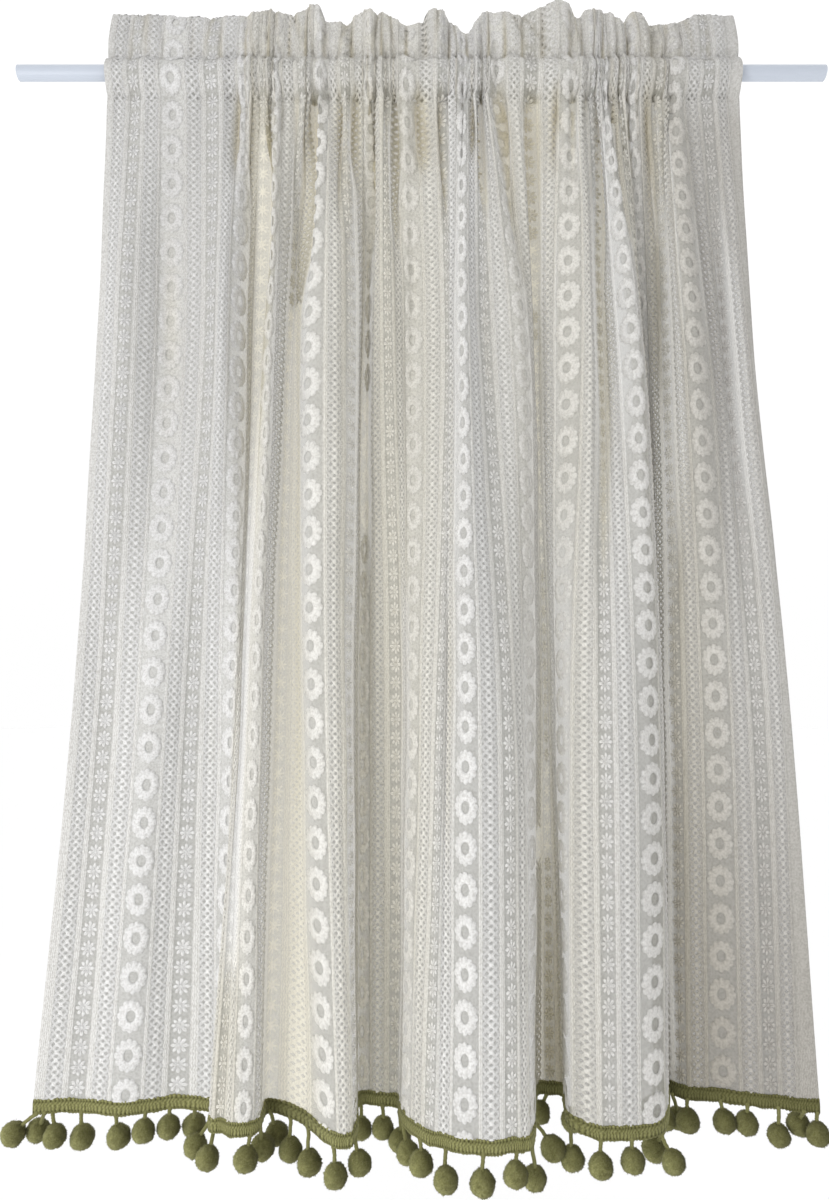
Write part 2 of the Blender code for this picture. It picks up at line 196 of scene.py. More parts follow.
# Creases that run down from the pocket or up from the hem: flat, run at both ends, half width, depth
# (a trough is negative and a ridge positive); one that starts at the pocket's seam has 862 as its upper end
CREASES = (
    (151, 770, 862, 7, -6.0), (186, 760, 862, 6, -5.0), (221, 540, 862, 11, -11.0), (236, 380, 780, 5, 2.6),
    (304, 740, 862, 6, -5.0), (323, 660, 862, 10, -11.0), (282, 420, 862, 4, 2.4), (366, 720, 862, 9, -9.5),
    (345, 640, 862, 5, 2.4), (395, 770, 862, 6, -6.0), (430, 700, 862, 8, -9.5), (408, 300, 800, 5, -3.2),
    (488, 700, 862, 10, -9.5), (524, 780, 862, 7, -8.0), (503, 560, 862, 6, 2.6), (550, 720, 862, 8, -9.5),
    (570, 250, 862, 4, 2.0), (585, 40, 560, 3, -1.4), (618, 790, 862, 6, -6.0), (645, 740, 862, 8, -9.0),
    (662, 650, 862, 5, 2.6), (688, 680, 862, 7, -8.0), (706, 600, 862, 5, 2.4), (726, 640, 862, 9, -8.5),
    (748, 780, 862, 5, -6.5), (760, 600, 862, 4, 2.4), (820, 680, 862, 8, -8.5), (876, 700, 862, 7, -8.5),
    (858, 420, 862, 5, 2.0), (920, 780, 862, 7, -6.5), (964, 700, 862, 8, -6.5), (1003, 500, 862, 5, 2.2),
    (1040, 560, 862, 5, -2.4), (1052, 300, 760, 4, 1.6), (103, 200, 700, 9, 1.6), (60, 120, 640, 9, -1.4),
    (196, 0, 420, 5, 1.8), (370, 0, 460, 5, 1.6), (618, 0, 420, 9, 0.8), (655, 0, 380, 5, -1.4),
    (800, 0, 420, 5, 1.4), (1000, 0, 500, 7, -1.8), (1060, 0, 420, 6, 1.4),
)
CREASE_TIP, CREASE_OPEN = 15.0, 45.0  # from a point this far up the pocket to full width this far under it
CREASE_DRIFT = 2.5  # how far a crease wanders aside
GAP_DEPTH = -4  # creases deeper than this get painted shade in their bottoms
GAP_FADE, CORE_FADE = 80.0, 26.0  # how far down the painted shade in the bottoms fades, and where it is darkest
SEAM_SAG = 1.8  # how much lower the pocket's seam hangs on the folds than between them

# Where the cloth lies behind its neighbourhood it gets a painted warm shade: how wide a neighbourhood,
# and how far behind it the painted shade begins and is full
WIDE_RECESS = (55.0, 11.0, 25.0)
CLOSE_RECESS = (15.0, 1.2, 5.0)
RECESS_STEP, RECESS_REACH = 2.0, 60  # it is measured this far apart, at this many places each way

# The cloth tucked behind the first fold's edge, which light comes through, and the lower cloth beside the
# second fold: flat, half width, and the runs over which each begins and ends
TUCK_FLAT, TUCK_HALF = 216.0, 27.0
TUCK_BEGINS, TUCK_ENDS, LOW_TUCK_ENDS = (60, 150), (790, 880), (380, 620)
SECOND_TUCK_FLAT, SECOND_TUCK_HALF = 312.0, 16.0
SECOND_TUCK, SECOND_TUCK_ENDS = 0.66, (330, 480)

DUSK = (945, 985)  # over this stretch of the flat width the recesses' painted shade turns from warm to grey
TURNED = (0.72, 0.97)  # the cloth is seen edge-on as its direction out turns this far aside

# How much painted grey shade the cloth gets along its flat width: everywhere, near the hem and in its upper
# part
SHADE = (
    (0, 0), (720, 0.02), (815, 0.11), (850, 0.13), (885, 0.04), (925, 0.1), (950, 0.38), (1030, 0.46),
    (1060, 0.3), (1118, 0.34),
)
HEM_SHADE = (
    (0, 0), (660, 0), (700, 0.16), (724, 0.4), (745, 0.22), (790, 0.09), (880, 0.14), (930, 0.25),
    (955, 0.5), (1035, 0.5), (1065, 0.6), (1118, 0.5),
)
TOP_SHADE = (
    (0, 0), (50, 0.02), (80, 0.16), (105, 0.16), (135, 0.02), (1020, 0), (1050, 0.25), (1118, 0.25),
)
HEM_SHADE_ENDS, TOP_SHADE_BEGINS = (0, 430), (350, 640)  # along the run
HEADING_SHADE = 0.02
RECESS_SHADE = 0.3  # how much painted grey shade the recesses get past DUSK

# How much less painted warm shade the heading and the lower tuck get, and how much less painted grey shade
# the cloth seen edge-on; how much light comes through the lower tuck, the cloth seen edge-on and the close
# recesses; and where the wide recesses let less light through, at the lower right
HEADING_PALE, LOW_TUCK_PALE, TURNED_PALE = 0.45, 0.85, 0.8
LOW_TUCK_GLOW, TURNED_GLOW, CLOSE_GLOW = 0.4, 0.75, 0.7
LOW_RIGHT_ENDS, LOW_RIGHT_BEGINS = (30, 330), (650, 700)  # along the run, and along the flat width

# How little the net and the holes stand out from the threads along the flat width, well over the hem
FAINT = (
    (0, 0.75), (150, 0.7), (170, 0.85), (255, 0.85), (271, 0.75), (285, 0.75), (295, 0.25), (325, 0.15),
    (395, 0.3), (423, 0.9), (450, 0.3), (485, 0.5), (509, 0.8), (535, 0.4), (560, 0.2), (640, 0.2),
    (660, 0.6), (681, 0.9), (705, 0.6), (740, 0.35), (767, 0.35), (800, 0.2), (900, 0.15), (960, 0.3),
    (1045, 0.3), (1065, 0.12), (1118, 0.12),
)

FAINT_RISES = (120, 520)  # along the run, from near the hem to well over it

# How much painted warm shade the cloth gets along its flat width where it doesn't lie back
PAINTED_WARMTH = (
    (0, 0.0), (165, 0.0), (185, 0.35), (235, 0.35), (250, 0.1), (280, 0.25), (320, 0.25), (340, 0.12),
    (372, 0.32), (470, 0.35), (535, 0.25), (560, 0.05), (620, 0.0), (650, 0.1), (700, 0.25), (790, 0.2),
    (815, 0.0), (862, 0.05), (885, 0.25), (910, 0.2), (950, 0.05), (964, 0.36), (988, 0.34), (1003, 0.22),
    (1030, 0.14), (1048, 0.02), (1118, 0.0),
)

# Rows of the sheet's mesh along the run: from, to, how many steps
ROW_STEPS = (
    (0, RUN_SEAM - 110, 116),
    (RUN_SEAM - 110, RUN_SEAM, 32),
    (RUN_SEAM, RUN_TOP_SEAM, 15),
    (RUN_TOP_SEAM, RUN_EDGE - 5, 10),
    (RUN_EDGE - 5, RUN_EDGE + 5, 10),
    (RUN_EDGE + 5, RUN_BACK_SEAM, 9),
    (RUN_BACK_SEAM, RUN_END, 15),
)

# ---- The lace's pattern, mirrored about the middle of each flower column ----

FIRST_FLOWER = 79.0  # flat place of the first whole flower column
REPEAT = 86.0
HALF_REPEAT = REPEAT / 2
COLUMNS = 13
FLOWER_GROUND = 12.8  # these are distances from the middle of the flower column
NARROW_BAR = 16.6
LATTICE_EDGE = 29.6
WIDE_BAR = 35.6
LATTICE_MIDDLE = (NARROW_BAR + LATTICE_EDGE) / 2
SIDE_HEM_LEFT = 5.8
SIDE_HEM_RIGHT = 1098.2
SIDE_HEM_RELIEF = 0.35
EDGE_FOLD, EDGE_RELIEF = 1.2, 0.5  # how far in from its sides the cloth is highest, and how high
CLOTH_EDGE = 0.6  # the raised motifs stop this far inside the cloth's edges
EVEN_TONE = 0.94  # tone of painted shade of motifs that don't stand out

# The sheet's mesh columns of a half repeat: distance from the flower's middle, how far the bars stand out
HALF_REPEAT_COLUMNS = (
    (0, 0), (4.3, 0), (8.6, 0), (FLOWER_GROUND, 0), (13.7, 0.4), (15.7, 0.4), (NARROW_BAR, 0.1),
    (19.85, 0), (LATTICE_MIDDLE, 0), (26.35, 0), (LATTICE_EDGE, 0.1), (30.9, 0.55), (34.3, 0.55),
    (WIDE_BAR, 0), (39.3, 0), (HALF_REPEAT, 0),
)

# Each flower column's lowest centre over the hem, the distance to the next, and how light its net is; the
# first is the column that the left side cuts
FLOWER_ROWS = (
    (12.0, 31.4, 0.2), (5.8, 31.1, 0.95), (2.3, 31.94, 0.9), (10.8, 31.76, 0.85), (20.9, 31.74, 0.2),
    (16.0, 31.5, 0.4), (-0.3, 32.18, 0.55), (24.2, 31.22, 0.25), (15.0, 31.0, 0.4), (0.8, 32.18, 0.3),
    (8.3, 31.58, 0.3), (10.5, 30.6, 0.4), (15.0, 31.24, 0.15), (10.0, 31.4, 0.2),
)
FLOWER_PITCH = 31.4
STAR_PITCH = 15.7
STAR_START = 9.2
LATTICE_PITCH = 6.28
LATTICE_CELL = 3.5  # from the band's middle, where the knots are, to the holes beside them
STRAND_HALF = 1.15
STRAND_REACH = 7.1  # how far a strand goes from the band's middle
KNOT_RADIUS = 2.0
KNOT_SIDES = 7

FLOWER_WIDE, FLOWER_HIGH = 12.3, 13.7
FLOWER_EYE_WIDE, FLOWER_EYE_HIGH = 4.0, 4.9
PETALS = 12
SCALLOP = 0.12
FLOWER_RINGS = (  # from the eye to the rim: share of the way, height, tone of painted shade, depth of the petals' grooves
    (0, 0.4, 0.82, 0), (0.2, 1.1, 1.0, 0), (0.58, 0.9, 0.93, 0.06), (0.86, 0.95, 0.98, 0.16),
    (1, 0.2, 0.84, 0),
)
STAR_PETALS = 8
STAR_RADIUS = 6.8
PETAL_BROAD = 4.6  # where a petal of the star is broadest
STAR_KNOT, STAR_KNOT_SIDES = 1.3, 6

# ---- The trim ----

TAPE_TOP = 0.9  # the lace's edge is sewn in by this much
TAPE_BOTTOM = -10.3
TAPE_HALF = 1.45
TAPE_GROOVES = (0.16, 0.86)  # beside its corded edges, as shares of its height
HEM_PAINTED_SHADE = 0.55  # how much painted shade darkens the trim where the hem lies far back
RIB_PITCH = 3.1
RIB_DEPTH = 0.8
TAPE_STEP = 0.68
CORD_RADIUS = 1.5
CORD_TWIST = 4.2
CORD_SIDES, CORD_STEPS = 9, 13
CORD_AND_HALF_BALL = 18.5
BALL_WIDE, BALL_HIGH = 9.2, 9.3  # half sizes of a pompom without its loose ends
BALL_RINGS, BALL_SIDES = 24, 34
TUFTS = 820
TUFT_WIDE = 0.42
# Tone up a loose end, three foot points then its tip: darker at the foot, as painted shade in the pile
TUFT_TONES = (0.6, 0.6, 0.6, 1.05)
AWAY_FROM_LIGHT = (0.9, 0, 0.35)
BALL_PAINTED_SHADE = 0.86  # how much painted shade darkens a pompom on the side away from the light
POMPOMS = (  # flat, and how far the ball hangs right of its root, out of it, and lower than the rest
    (2, -17, 0, -3), (10, -9, -9, -1), (17, 5, 8, -5), (41, 1, 0, 0), (71, 3, 0, -3), (96, 0, 2, -6),
    (117, -1, 0, -5), (133, -2, -10, -1), (150, -13, 1, 6), (166, -5, 8, 6), (262, -3, 3, -3),
    (277, 1, -9, 0), (296, 5, -4, 0), (309, 1, 3, 4), (321, 2, 4, 6), (346, 2, 4, 0), (378, 4, 0, -2),
    (421, 0, 0, 0), (452, 0, -3, 0), (482, 0, -6, 6), (506, 3, 4, 0), (539, 0, 0, -2), (574, 0, 10, -2),
    (611, 0, 0, 1), (643, -1, 4, -5), (676, 2, -6, 9), (690, 13, 8, -2), (718, -6, 4, -6),
    (752, 6, -3, -2), (779, 2, -2, 6), (800, -1, 5, -3), (831, 1, 0, -4), (866, -6, -12, 4),
    (858, 7, 6, -1), (905, -1, 0, 0), (940, -3, -3, 0), (972, 6, -9, 5), (990, -2, 6, -5),
    (1023, 1, 3, -5), (1044, 0, -2, -4), (1075, 0, 0, 2), (1101, 0, -9, -5), (1115, -2, 5, -5),
)


def span_of(knots, at):
    """The number of the span between knots that each place lies in."""
    return np.clip(np.searchsorted(knots, at, side="right") - 1, 0, len(knots) - 2)


def unit(vectors):
    return vectors / np.linalg.norm(vectors, axis=-1, keepdims=True)


def smooth(knots, values, at):
    """A curve through the values, with each knot's slope taken from its neighbours."""
    knots = np.asarray(knots, float)
    values = np.asarray(values, float)
    slopes = np.gradient(values, knots, axis=0)
    span = span_of(knots, at)
    width = knots[span + 1] - knots[span]
    t = (at - knots[span]) / width
    start = (1 + 2 * t) * (1 - t) ** 2
    end = t * t * (3 - 2 * t)
    leave = t * (1 - t) ** 2 * width
    arrive = t * t * (t - 1) * width
    return start * values[span] + end * values[span + 1] + leave * slopes[span] + arrive * slopes[span + 1]


def table_value(table, at):
    return np.interp(at, [row[0] for row in table], [row[1] for row in table])


def fold_column(name):
    index = FOLD_COLUMNS.index(name)
    return [row[index] for row in FOLDS]


def across(name, flat):
    return smooth(fold_column("flat"), fold_column(name), flat)


def ramp(low, high, at):
    """A soft step from 0 at low to 1 at high."""
    share = np.clip((at - low) / (high - low), 0, 1)
    return share * share * (3 - 2 * share)


def bump(at, middle, half):
    """A bell of height 1."""
    return np.exp(-(((at - middle) / half) ** 2))


def calm(flat):
    """Less than 1 near the cloth's sides, where it is hardly gathered."""
    middle = ramp(*CALM_LEFT, flat) * (1 - ramp(*CALM_RIGHT, flat))
    return CALM + (1 - CALM) * middle


def crowding(flat):
    """How tightly the pocket gathers the cloth here, from 0 to 1."""
    spread = np.gradient(across("heading", flat), flat)
    return np.clip((0.95 - spread) / 0.55, LEAST_CROWDED, 1) * calm(flat)


def gather(flat):
    """The part's own pleats, from -1 to 1."""
    turn = 2 * math.pi * flat / GATHER_LENGTH
    wave = np.sin(turn + 0.9 * np.sin(0.37 * turn) + 0.6 * np.sin(0.83 * turn + 1))
    spread = np.gradient(across("heading", flat), flat)
    return wave * np.clip(spread / 0.45, 0.3, 1) * calm(flat)


def pleat(flat, shift=0.0):
    """Narrow pleats, round in front and sharper behind, from -1 to 1."""
    turn = 2 * math.pi * flat / PLEAT_LENGTH + shift
    wave = np.sin(turn + 1.3 * np.sin(0.23 * turn + 0.7) + 0.7 * np.sin(0.61 * turn + 2))
    return (2 * ((1 + wave) / 2) ** 0.7 - 1) * crowding(flat)


def pucker(flat):
    """Tiny puckers beside a seam, from -1 to 1."""
    turn = 2 * math.pi * flat / PUCKER_LENGTH
    wave = np.sin(turn + 1.7 * np.sin(0.19 * turn))
    return (2 * np.abs(wave) ** 0.7 - 1) * crowding(flat)


def pleats(flat, run, shift=0.0):
    """How far the narrow pleats move the cloth, in millimetres."""
    return PLEAT_DEPTH * table_value(PLEAT_STRENGTH, run) * pleat(flat, shift)


def puckers(flat, from_seam):
    """How far the puckers move the cloth at this distance from a seam, in millimetres."""
    return PUCKER_DEPTH * math.exp(-from_seam / PUCKER_REACH) * pucker(flat)


def crinkle(flat, run):
    """Small dents of crowded cloth round the rod, in millimetres."""
    turn = 2 * math.pi * flat / 13 + 1.1 * np.sin(flat / 21) + run / 6
    other = 2 * math.pi * flat / 9.1 - run / 4.3 + 1.4 * np.sin(flat / 15 + 1)
    dents = 0.6 * np.sin(turn) * np.sin(run / 5.2 + flat / 33) + 0.4 * np.sin(other)
    return CRINKLE * dents * crowding(flat)


def crease_shapes(flat, run):
    """Each crease at this row: its depth, half width and shape across, from 0 to 1."""
    shapes = []
    point = float(ramp(-CREASE_TIP, CREASE_OPEN, RUN_SEAM - run)) ** 0.5
    for middle, low, high, half, depth in CREASES:
        at_seam = high == RUN_SEAM
        wide = point if at_seam else 1
        if run < low or run > high + at_seam * CREASE_TIP or wide < 0.03:
            continue
        below = 1 if low == 0 else min(1, (run - low) / (0.5 * (high - low)))
        above = 1 if at_seam else min(1, (high - run) / (0.4 * (high - low)))
        fade = float(ramp(0, 1, min(below, above)))
        drift = middle + CREASE_DRIFT * math.sin(run / 130 + middle)
        shapes.append((depth, half, fade * wide * np.exp(-(((flat - drift) / half) ** 2) / wide)))
    return shapes


def creases(flat, run):
    """How far the listed creases move the cloth out of its fold."""
    return sum((depth * shape for depth, _, shape in crease_shapes(flat, run)), np.zeros_like(flat))


def crease_painted_shade(flat, run):
    """From 0 to 1, painted shade in the bottoms of the deep creases under the pocket, which fades
    downwards.
    """
    if run > RUN_SEAM + CREASE_TIP:
        return np.zeros_like(flat)
    near = math.exp(-max(0, RUN_SEAM - run) / GAP_FADE)
    shapes = [found for found in crease_shapes(flat, run) if found[0] < GAP_DEPTH]
    wide = [min(1, -depth / 8) * min(1, 7 / half) * shape ** (half / 9) for depth, half, shape in shapes]
    core = [min(1, -depth / 7) * shape ** (half / 3) for depth, half, shape in shapes]
    deepest = math.exp(-abs(RUN_SEAM - 12 - run) / CORE_FADE)
    dark = near * sum(wide, np.zeros_like(flat)) + deepest * sum(core, np.zeros_like(flat))
    return np.minimum(1, dark)


def painted_shade_lines(flat, run):
    """From 0 to 1, painted shade in thin lines between the heading's pleats and where its frill is drawn
    in.
    """
    run = RUN_EDGE - abs(run - RUN_EDGE)
    between = np.clip(-pleat(flat), 0, 1) ** 3 * ramp(RUN_SEAM - 70, RUN_SEAM - 5, run)
    between = between * (1 - 0.8 * ramp(RUN_TOP_SEAM - 2, RUN_TOP_SEAM + 14, run))
    right = across("heading", flat)
    away = np.abs(right[:, None] - np.array(FRILL_GATHERS, float)[None]).min(1)
    drawn = bump(away, 0, 1.5) * calm(flat) * ramp(RUN_TOP_SEAM - 9, RUN_TOP_SEAM, run)
    drawn = drawn * (1 - 0.7 * ramp(RUN_TOP_SEAM + 8, RUN_EDGE, run))
    share = max(0, (run - RUN_TOP_SEAM) / FRILL_RUN)
    slanting = sum(shape for _, shape in frill_creases(right, share))
    slanting = slanting * ramp(RUN_TOP_SEAM - 1, RUN_TOP_SEAM + 5, run)
    return np.maximum(np.maximum(0.45 * between, 0.7 * drawn), np.minimum(0.45, 0.5 * slanting))


# Painted shade in the creases' bottoms and in the heading's lines.
def painted_shade_places(flat, run):
    return np.maximum(crease_painted_shade(flat, run), painted_shade_lines(flat, run))


def seam_sag(flat):
    """How far the pocket's lower seam lies from level."""
    return -SEAM_SAG * (gather(flat) + 0.5 * pucker(flat))


def wrinkles(flat, run):
    """Slow unevenness of cloth that hangs free."""
    slow = 0.8 * np.sin(flat / 17 + run / 95 + 1) * np.sin(run / 61 + flat / 90)
    fine = 0.35 * np.sin(flat / 6.3 + 1.3 * np.sin(run / 48)) * np.sin(run / 33 + flat / 40 + 2)
    return slow + fine


def hanging_row(flat, run):
    """Right of the rod's middle, out and up, for a row of the hanging cloth."""
    height = HEM + run
    levels = (HEM, LOWER, UPPER, HEADING_SEAM)
    rights = [across(name, flat) for name in ("hem", "lower", "upper", "heading")]
    right = smooth(levels, np.array(rights), height)
    outs = [across(name, flat) for name in ("out_hem", "out_lower", "out_upper")]
    forward = smooth(levels, np.array(outs + [np.zeros_like(flat)]), height)
    forward = forward + SEAM_GATHER * math.exp((height - HEADING_SEAM) / GATHER_FADE) * gather(flat)
    along = np.stack([np.gradient(right, flat), np.gradient(forward, flat)])
    along /= np.linalg.norm(along, axis=0)
    under = RUN_SEAM - run
    push = (
        pleats(flat, run)
        + creases(flat, run)
        + min(1, under / WRINKLES_FULL) * wrinkles(flat, run)
        + puckers(flat, under)
    )
    sag = seam_sag(flat) * math.exp(-under / (2 * PUCKER_REACH))
    return right - push * along[1], forward + push * along[0], height + sag


def pocket_row(flat, run, side):
    """A row of the pocket, whose pleats stand out from the rod; side is 1 in front and -1 behind."""
    up = (run - RUN_SEAM) / POCKET_RUN if side > 0 else 1 - (run - RUN_BACK_SEAM) / POCKET_RUN
    height = HEADING_SEAM + up * (POCKET_TOP_SEAM - HEADING_SEAM)
    depth = float(table_value(POCKET_DEPTH, height))
    at_seam = abs(2 * up - 1) ** 2
    wave = SEAM_GATHER * gather(flat) * at_seam * (1 if up < 0.5 else 0.25)
    shift = 0 if side > 0 else 0.9 * (1 - at_seam)
    fine = pleats(flat, run, shift)
    fullness = (1 - at_seam) * (POCKET_SWELL * (1 + gather(flat)) / 2 + np.abs(fine))
    from_seam = min(up, 1 - up) * POCKET_RUN
    forward = wave + at_seam * fine + puckers(flat, from_seam) + side * (depth + fullness)
    forward = forward + crinkle(flat, run) + creases(flat, RUN_SEAM + up * POCKET_RUN)
    clear = math.sqrt(max(0, (ROD_RADIUS + ROD_CLEARANCE) ** 2 - height**2))
    forward = np.maximum(forward, clear) if side > 0 else np.minimum(forward, -clear)
    right = across("heading", flat)
    low_seam, top_seam = max(0, 1 - 2 * up) ** 2, max(0, 2 * up - 1) ** 2
    return right, forward, height + seam_sag(flat) * low_seam + top_seam_wave(right, flat) * top_seam


def eased_value(table, at):
    """Goes through a table's values with a level stop at each."""
    places = np.array([row[0] for row in table], float)
    values = np.array([row[1] for row in table], float)
    span = span_of(places, at)
    share = ramp(places[span], places[span + 1], at)
    return values[span] + share * (values[span + 1] - values[span])


def lobes(right, flat):
    """How far the frill puffs out between its gathers, in millimetres: round, with a sharp line at each."""
    gathers = np.array(FRILL_GATHERS, float)
    span = span_of(gathers, right)
    half = (gathers[span + 1] - gathers[span]) / 2
    across_lobe = (right - gathers[span]) / half - 1
    return LOBE_SHARE * half * np.maximum(0, 1 - across_lobe**2) ** 0.6 * calm(flat)


def frill_creases(right, share):
    """Each slanting crease of the frill at this height: its depth and its shape across, from 0 to 1."""
    shapes = []
    for low, high, half, depth in FRILL_CREASES:
        shapes.append((depth, (0.4 + 0.6 * share) * bump(right, low + share * (high - low), half)))
    return shapes


def top_seam_wave(right, flat):
    """How far the seam under the frill lies from level."""
    wave = 0.7 * np.sin(right / 5.3 + 1.4 * np.sin(right / 17)) + 0.3 * np.sin(right / 2.9)
    return TOP_SEAM_WAVE * calm(flat) * wave


def frill_row(flat, run, side):
    """A row of the frill over the pocket; both sides meet at its edge, whose humps puff forward."""
    share = (run - RUN_TOP_SEAM) / FRILL_RUN if side > 0 else 1 - (run - RUN_EDGE) / FRILL_RUN
    right = across("heading", flat) * (1 - share * (1 - FRILL_NARROWING))
    top = eased_value(FRILL_TOP, right)
    puff = np.clip((top - FRILL_MIDDLE) / FRILL_HUMP, -1, 1) * ramp(0, 0.9, share)
    lobe = lobes(right, flat) * (0.2 + 0.8 * ramp(0, 0.4, share))
    rise = top - POCKET_TOP_SEAM - FRILL_HUMP * 0.22 * puff - 0.7 * lobe
    height = POCKET_TOP_SEAM + share * rise + max(0, 1 - 2 * share) ** 2 * top_seam_wave(right, flat)
    fine = 0.6 * pleats(flat, run, 0.8 * share) + 0.5 * (1 - share) * crinkle(flat, run)
    lean = share * share * 1.2 * np.sin(flat / 23 + 1.2 * np.sin(flat / 61)) * calm(flat)
    gap = side * float(table_value(FRILL_DEPTH, share)) * (1 + 0.6 * puff)
    ruffle = FRILL_RUFFLE * (1 - 0.75 * share) * gather(flat)
    forward = ruffle + FRILL_HUMP * 0.25 * puff + lobe + fine + lean + gap
    forward = forward + puckers(flat, share * FRILL_RUN)
    forward = forward + sum(depth * shape for depth, shape in frill_creases(right, share))
    return right, forward, height


def cloth_row(flat, run):
    if run <= RUN_SEAM:
        return hanging_row(flat, run)
    if run <= RUN_TOP_SEAM:
        return pocket_row(flat, run, 1)
    if run <= RUN_EDGE:
        return frill_row(flat, run, 1)
    if run <= RUN_BACK_SEAM:
        return frill_row(flat, run, -1)
    return pocket_row(flat, run, -1)


def to_frame(right, forward, height):
    """Points in the part's frame, in millimetres."""
    return np.stack(np.broadcast_arrays(right + ROD_MIDDLE, -forward, height), -1)


def sheet_columns():
    """Flat place and relief of each column of the sheet's mesh."""
    found = {}
    for number in range(-1, COLUMNS + 1):
        middle = FIRST_FLOWER + number * REPEAT
        for away, relief in HALF_REPEAT_COLUMNS:
            found[round(middle + away, 3)] = relief
            found[round(middle - away, 3)] = relief
    places = sorted(p for p in found if 3 < p < CUT_WIDTH - 3)
    flat = np.array([0.0, EDGE_FOLD] + places + [CUT_WIDTH - EDGE_FOLD, CUT_WIDTH])
    relief = np.array([0.0, EDGE_RELIEF] + [found[p] for p in places] + [EDGE_RELIEF, 0.0])
    hemmed = (flat < SIDE_HEM_LEFT) | (flat > SIDE_HEM_RIGHT)
    relief[hemmed] = np.maximum(relief[hemmed], SIDE_HEM_RELIEF)
    relief[[0, -1]] = 0
    return flat, relief


def sheet_rows():
    runs = [np.linspace(low, high, steps, endpoint=False) for low, high, steps in ROW_STEPS]
    return np.append(np.concatenate(runs), RUN_END)


class Surface:
    """The cloth as a grid of points, which every raised piece is laid on, and its looks at each point."""

    def __init__(self):
        self.flat, self.relief = sheet_columns()
        self.run = sheet_rows()
        self.points = np.array([to_frame(*cloth_row(self.flat, run)) for run in self.run])
        self.normals = self.grid_normals()
        wide = self.find_recess(*WIDE_RECESS)
        close = self.find_recess(*CLOSE_RECESS)
        tuck = bump(self.flat, TUCK_FLAT, TUCK_HALF) * self.rising(*TUCK_BEGINS) * self.falling(*TUCK_ENDS)
        low_tuck = tuck * self.falling(*LOW_TUCK_ENDS)
        second = SECOND_TUCK * bump(self.flat, SECOND_TUCK_FLAT, SECOND_TUCK_HALF)
        wide = np.maximum(np.maximum(wide, tuck), second * self.falling(*SECOND_TUCK_ENDS))
        behind = np.maximum(wide, close)
        turned = ramp(*TURNED, np.abs(self.normals[..., 0])) * self.falling(RUN_SEAM - 30, RUN_SEAM)
        self.thin = self.find_thin(wide)
        glow = np.maximum(np.maximum(self.thin, CLOSE_GLOW * close), TURNED_GLOW * turned)
        # Painted light and shade on the cloth, passed on to the motifs: a warm shade in the recesses, a
        # grey shade at the right and near the hem, and shade in the creases and the heading's lines (gap);
        # faint evens the pattern, in the recesses as painted light and shade; glow is how open the cloth
        # is, and crowd how gathered.
        self.looks = {
            "recess": self.find_painted_warmth(behind) * (1 - LOW_TUCK_PALE * low_tuck),
            "painted_grey_shade": self.find_painted_grey_shade(behind) * (1 - TURNED_PALE * turned),
            "faint": self.find_faint(behind),
            "glow": glow + LOW_TUCK_GLOW * low_tuck,
            "gap": np.array([painted_shade_places(self.flat, run) for run in self.run]),
            "crowd": self.rising(RUN_SEAM + 5, RUN_TOP_SEAM + 4) * crowding(self.flat),
        }

    def rising(self, low, high):
        """A soft step up from 0 to 1 along the run, for every row of the grid."""
        return ramp(low, high, self.run)[:, None]

    def falling(self, low, high):
        return 1 - self.rising(low, high)

    def find_thin(self, wide):
        """From 0 to 1, how much light comes through the cloth of the wide recesses."""
        low_right = self.falling(*LOW_RIGHT_ENDS) * ramp(*LOW_RIGHT_BEGINS, self.flat)
        return wide * (1 - 0.9 * ramp(*DUSK, self.flat)) * (1 - 0.8 * low_right)

    def find_painted_warmth(self, behind):
        """From 0 to 1, how much painted warm shade the cloth gets."""
        warmth = table_value(PAINTED_WARMTH, self.flat)
        warm = warmth + (1 - warmth) * behind * (1 - ramp(*DUSK, self.flat))
        return warm * (1 - HEADING_PALE * self.rising(RUN_SEAM - 15, RUN_SEAM + 15))

    def find_painted_grey_shade(self, behind):
        """From 0 to 1, how much painted grey shade the cloth gets."""
        heading = self.rising(RUN_SEAM - 40, RUN_SEAM + 20)
        shade = (1 - 0.6 * heading) * table_value(SHADE, self.flat) + HEADING_SHADE * heading
        shade = shade + self.falling(*HEM_SHADE_ENDS) * table_value(HEM_SHADE, self.flat)
        top = self.rising(*TOP_SHADE_BEGINS) * (1 - heading)
        shade = shade + top * table_value(TOP_SHADE, self.flat)
        return np.minimum(1, shade + RECESS_SHADE * behind * ramp(*DUSK, self.flat))

    def find_faint(self, behind):
        """How little the net and the holes stand out: at the left, in the heading and, as painted light and
        shade, in the recesses.
        """
        free = table_value(FAINT, self.flat) * (0.4 + 0.6 * self.rising(*FAINT_RISES))
        return np.maximum(np.maximum(free, self.rising(RUN_SEAM - 60, RUN_SEAM + 60)), 0.85 * behind)

    def grid_normals(self):
        """Unit vectors out of the cloth's right side."""
        along = np.gradient(self.points, self.flat, axis=1)
        up = np.gradient(self.points, self.run, axis=0)
        return unit(np.cross(along, up))

    def find_recess(self, near, slight, deep):
        """From 0 to 1, how deep the cloth lies behind its neighbourhood."""
        even = np.arange(0, CUT_WIDTH, RECESS_STEP)
        weights = bump(np.arange(-RECESS_REACH, RECESS_REACH + 1) * RECESS_STEP, 0, near)
        weights /= weights.sum()
        rows = []
        for number, run in enumerate(self.run):
            forward = -self.points[number, :, 1]
            padded = np.pad(np.interp(even, self.flat, forward), RECESS_REACH, mode="edge")
            around = np.interp(self.flat, even, np.convolve(padded, weights, mode="valid"))
            fade = 1 - ramp(RUN_SEAM - 8, RUN_SEAM + 8, run)
            rows.append(fade * ramp(slight, deep, around - forward))
        return np.array(rows)

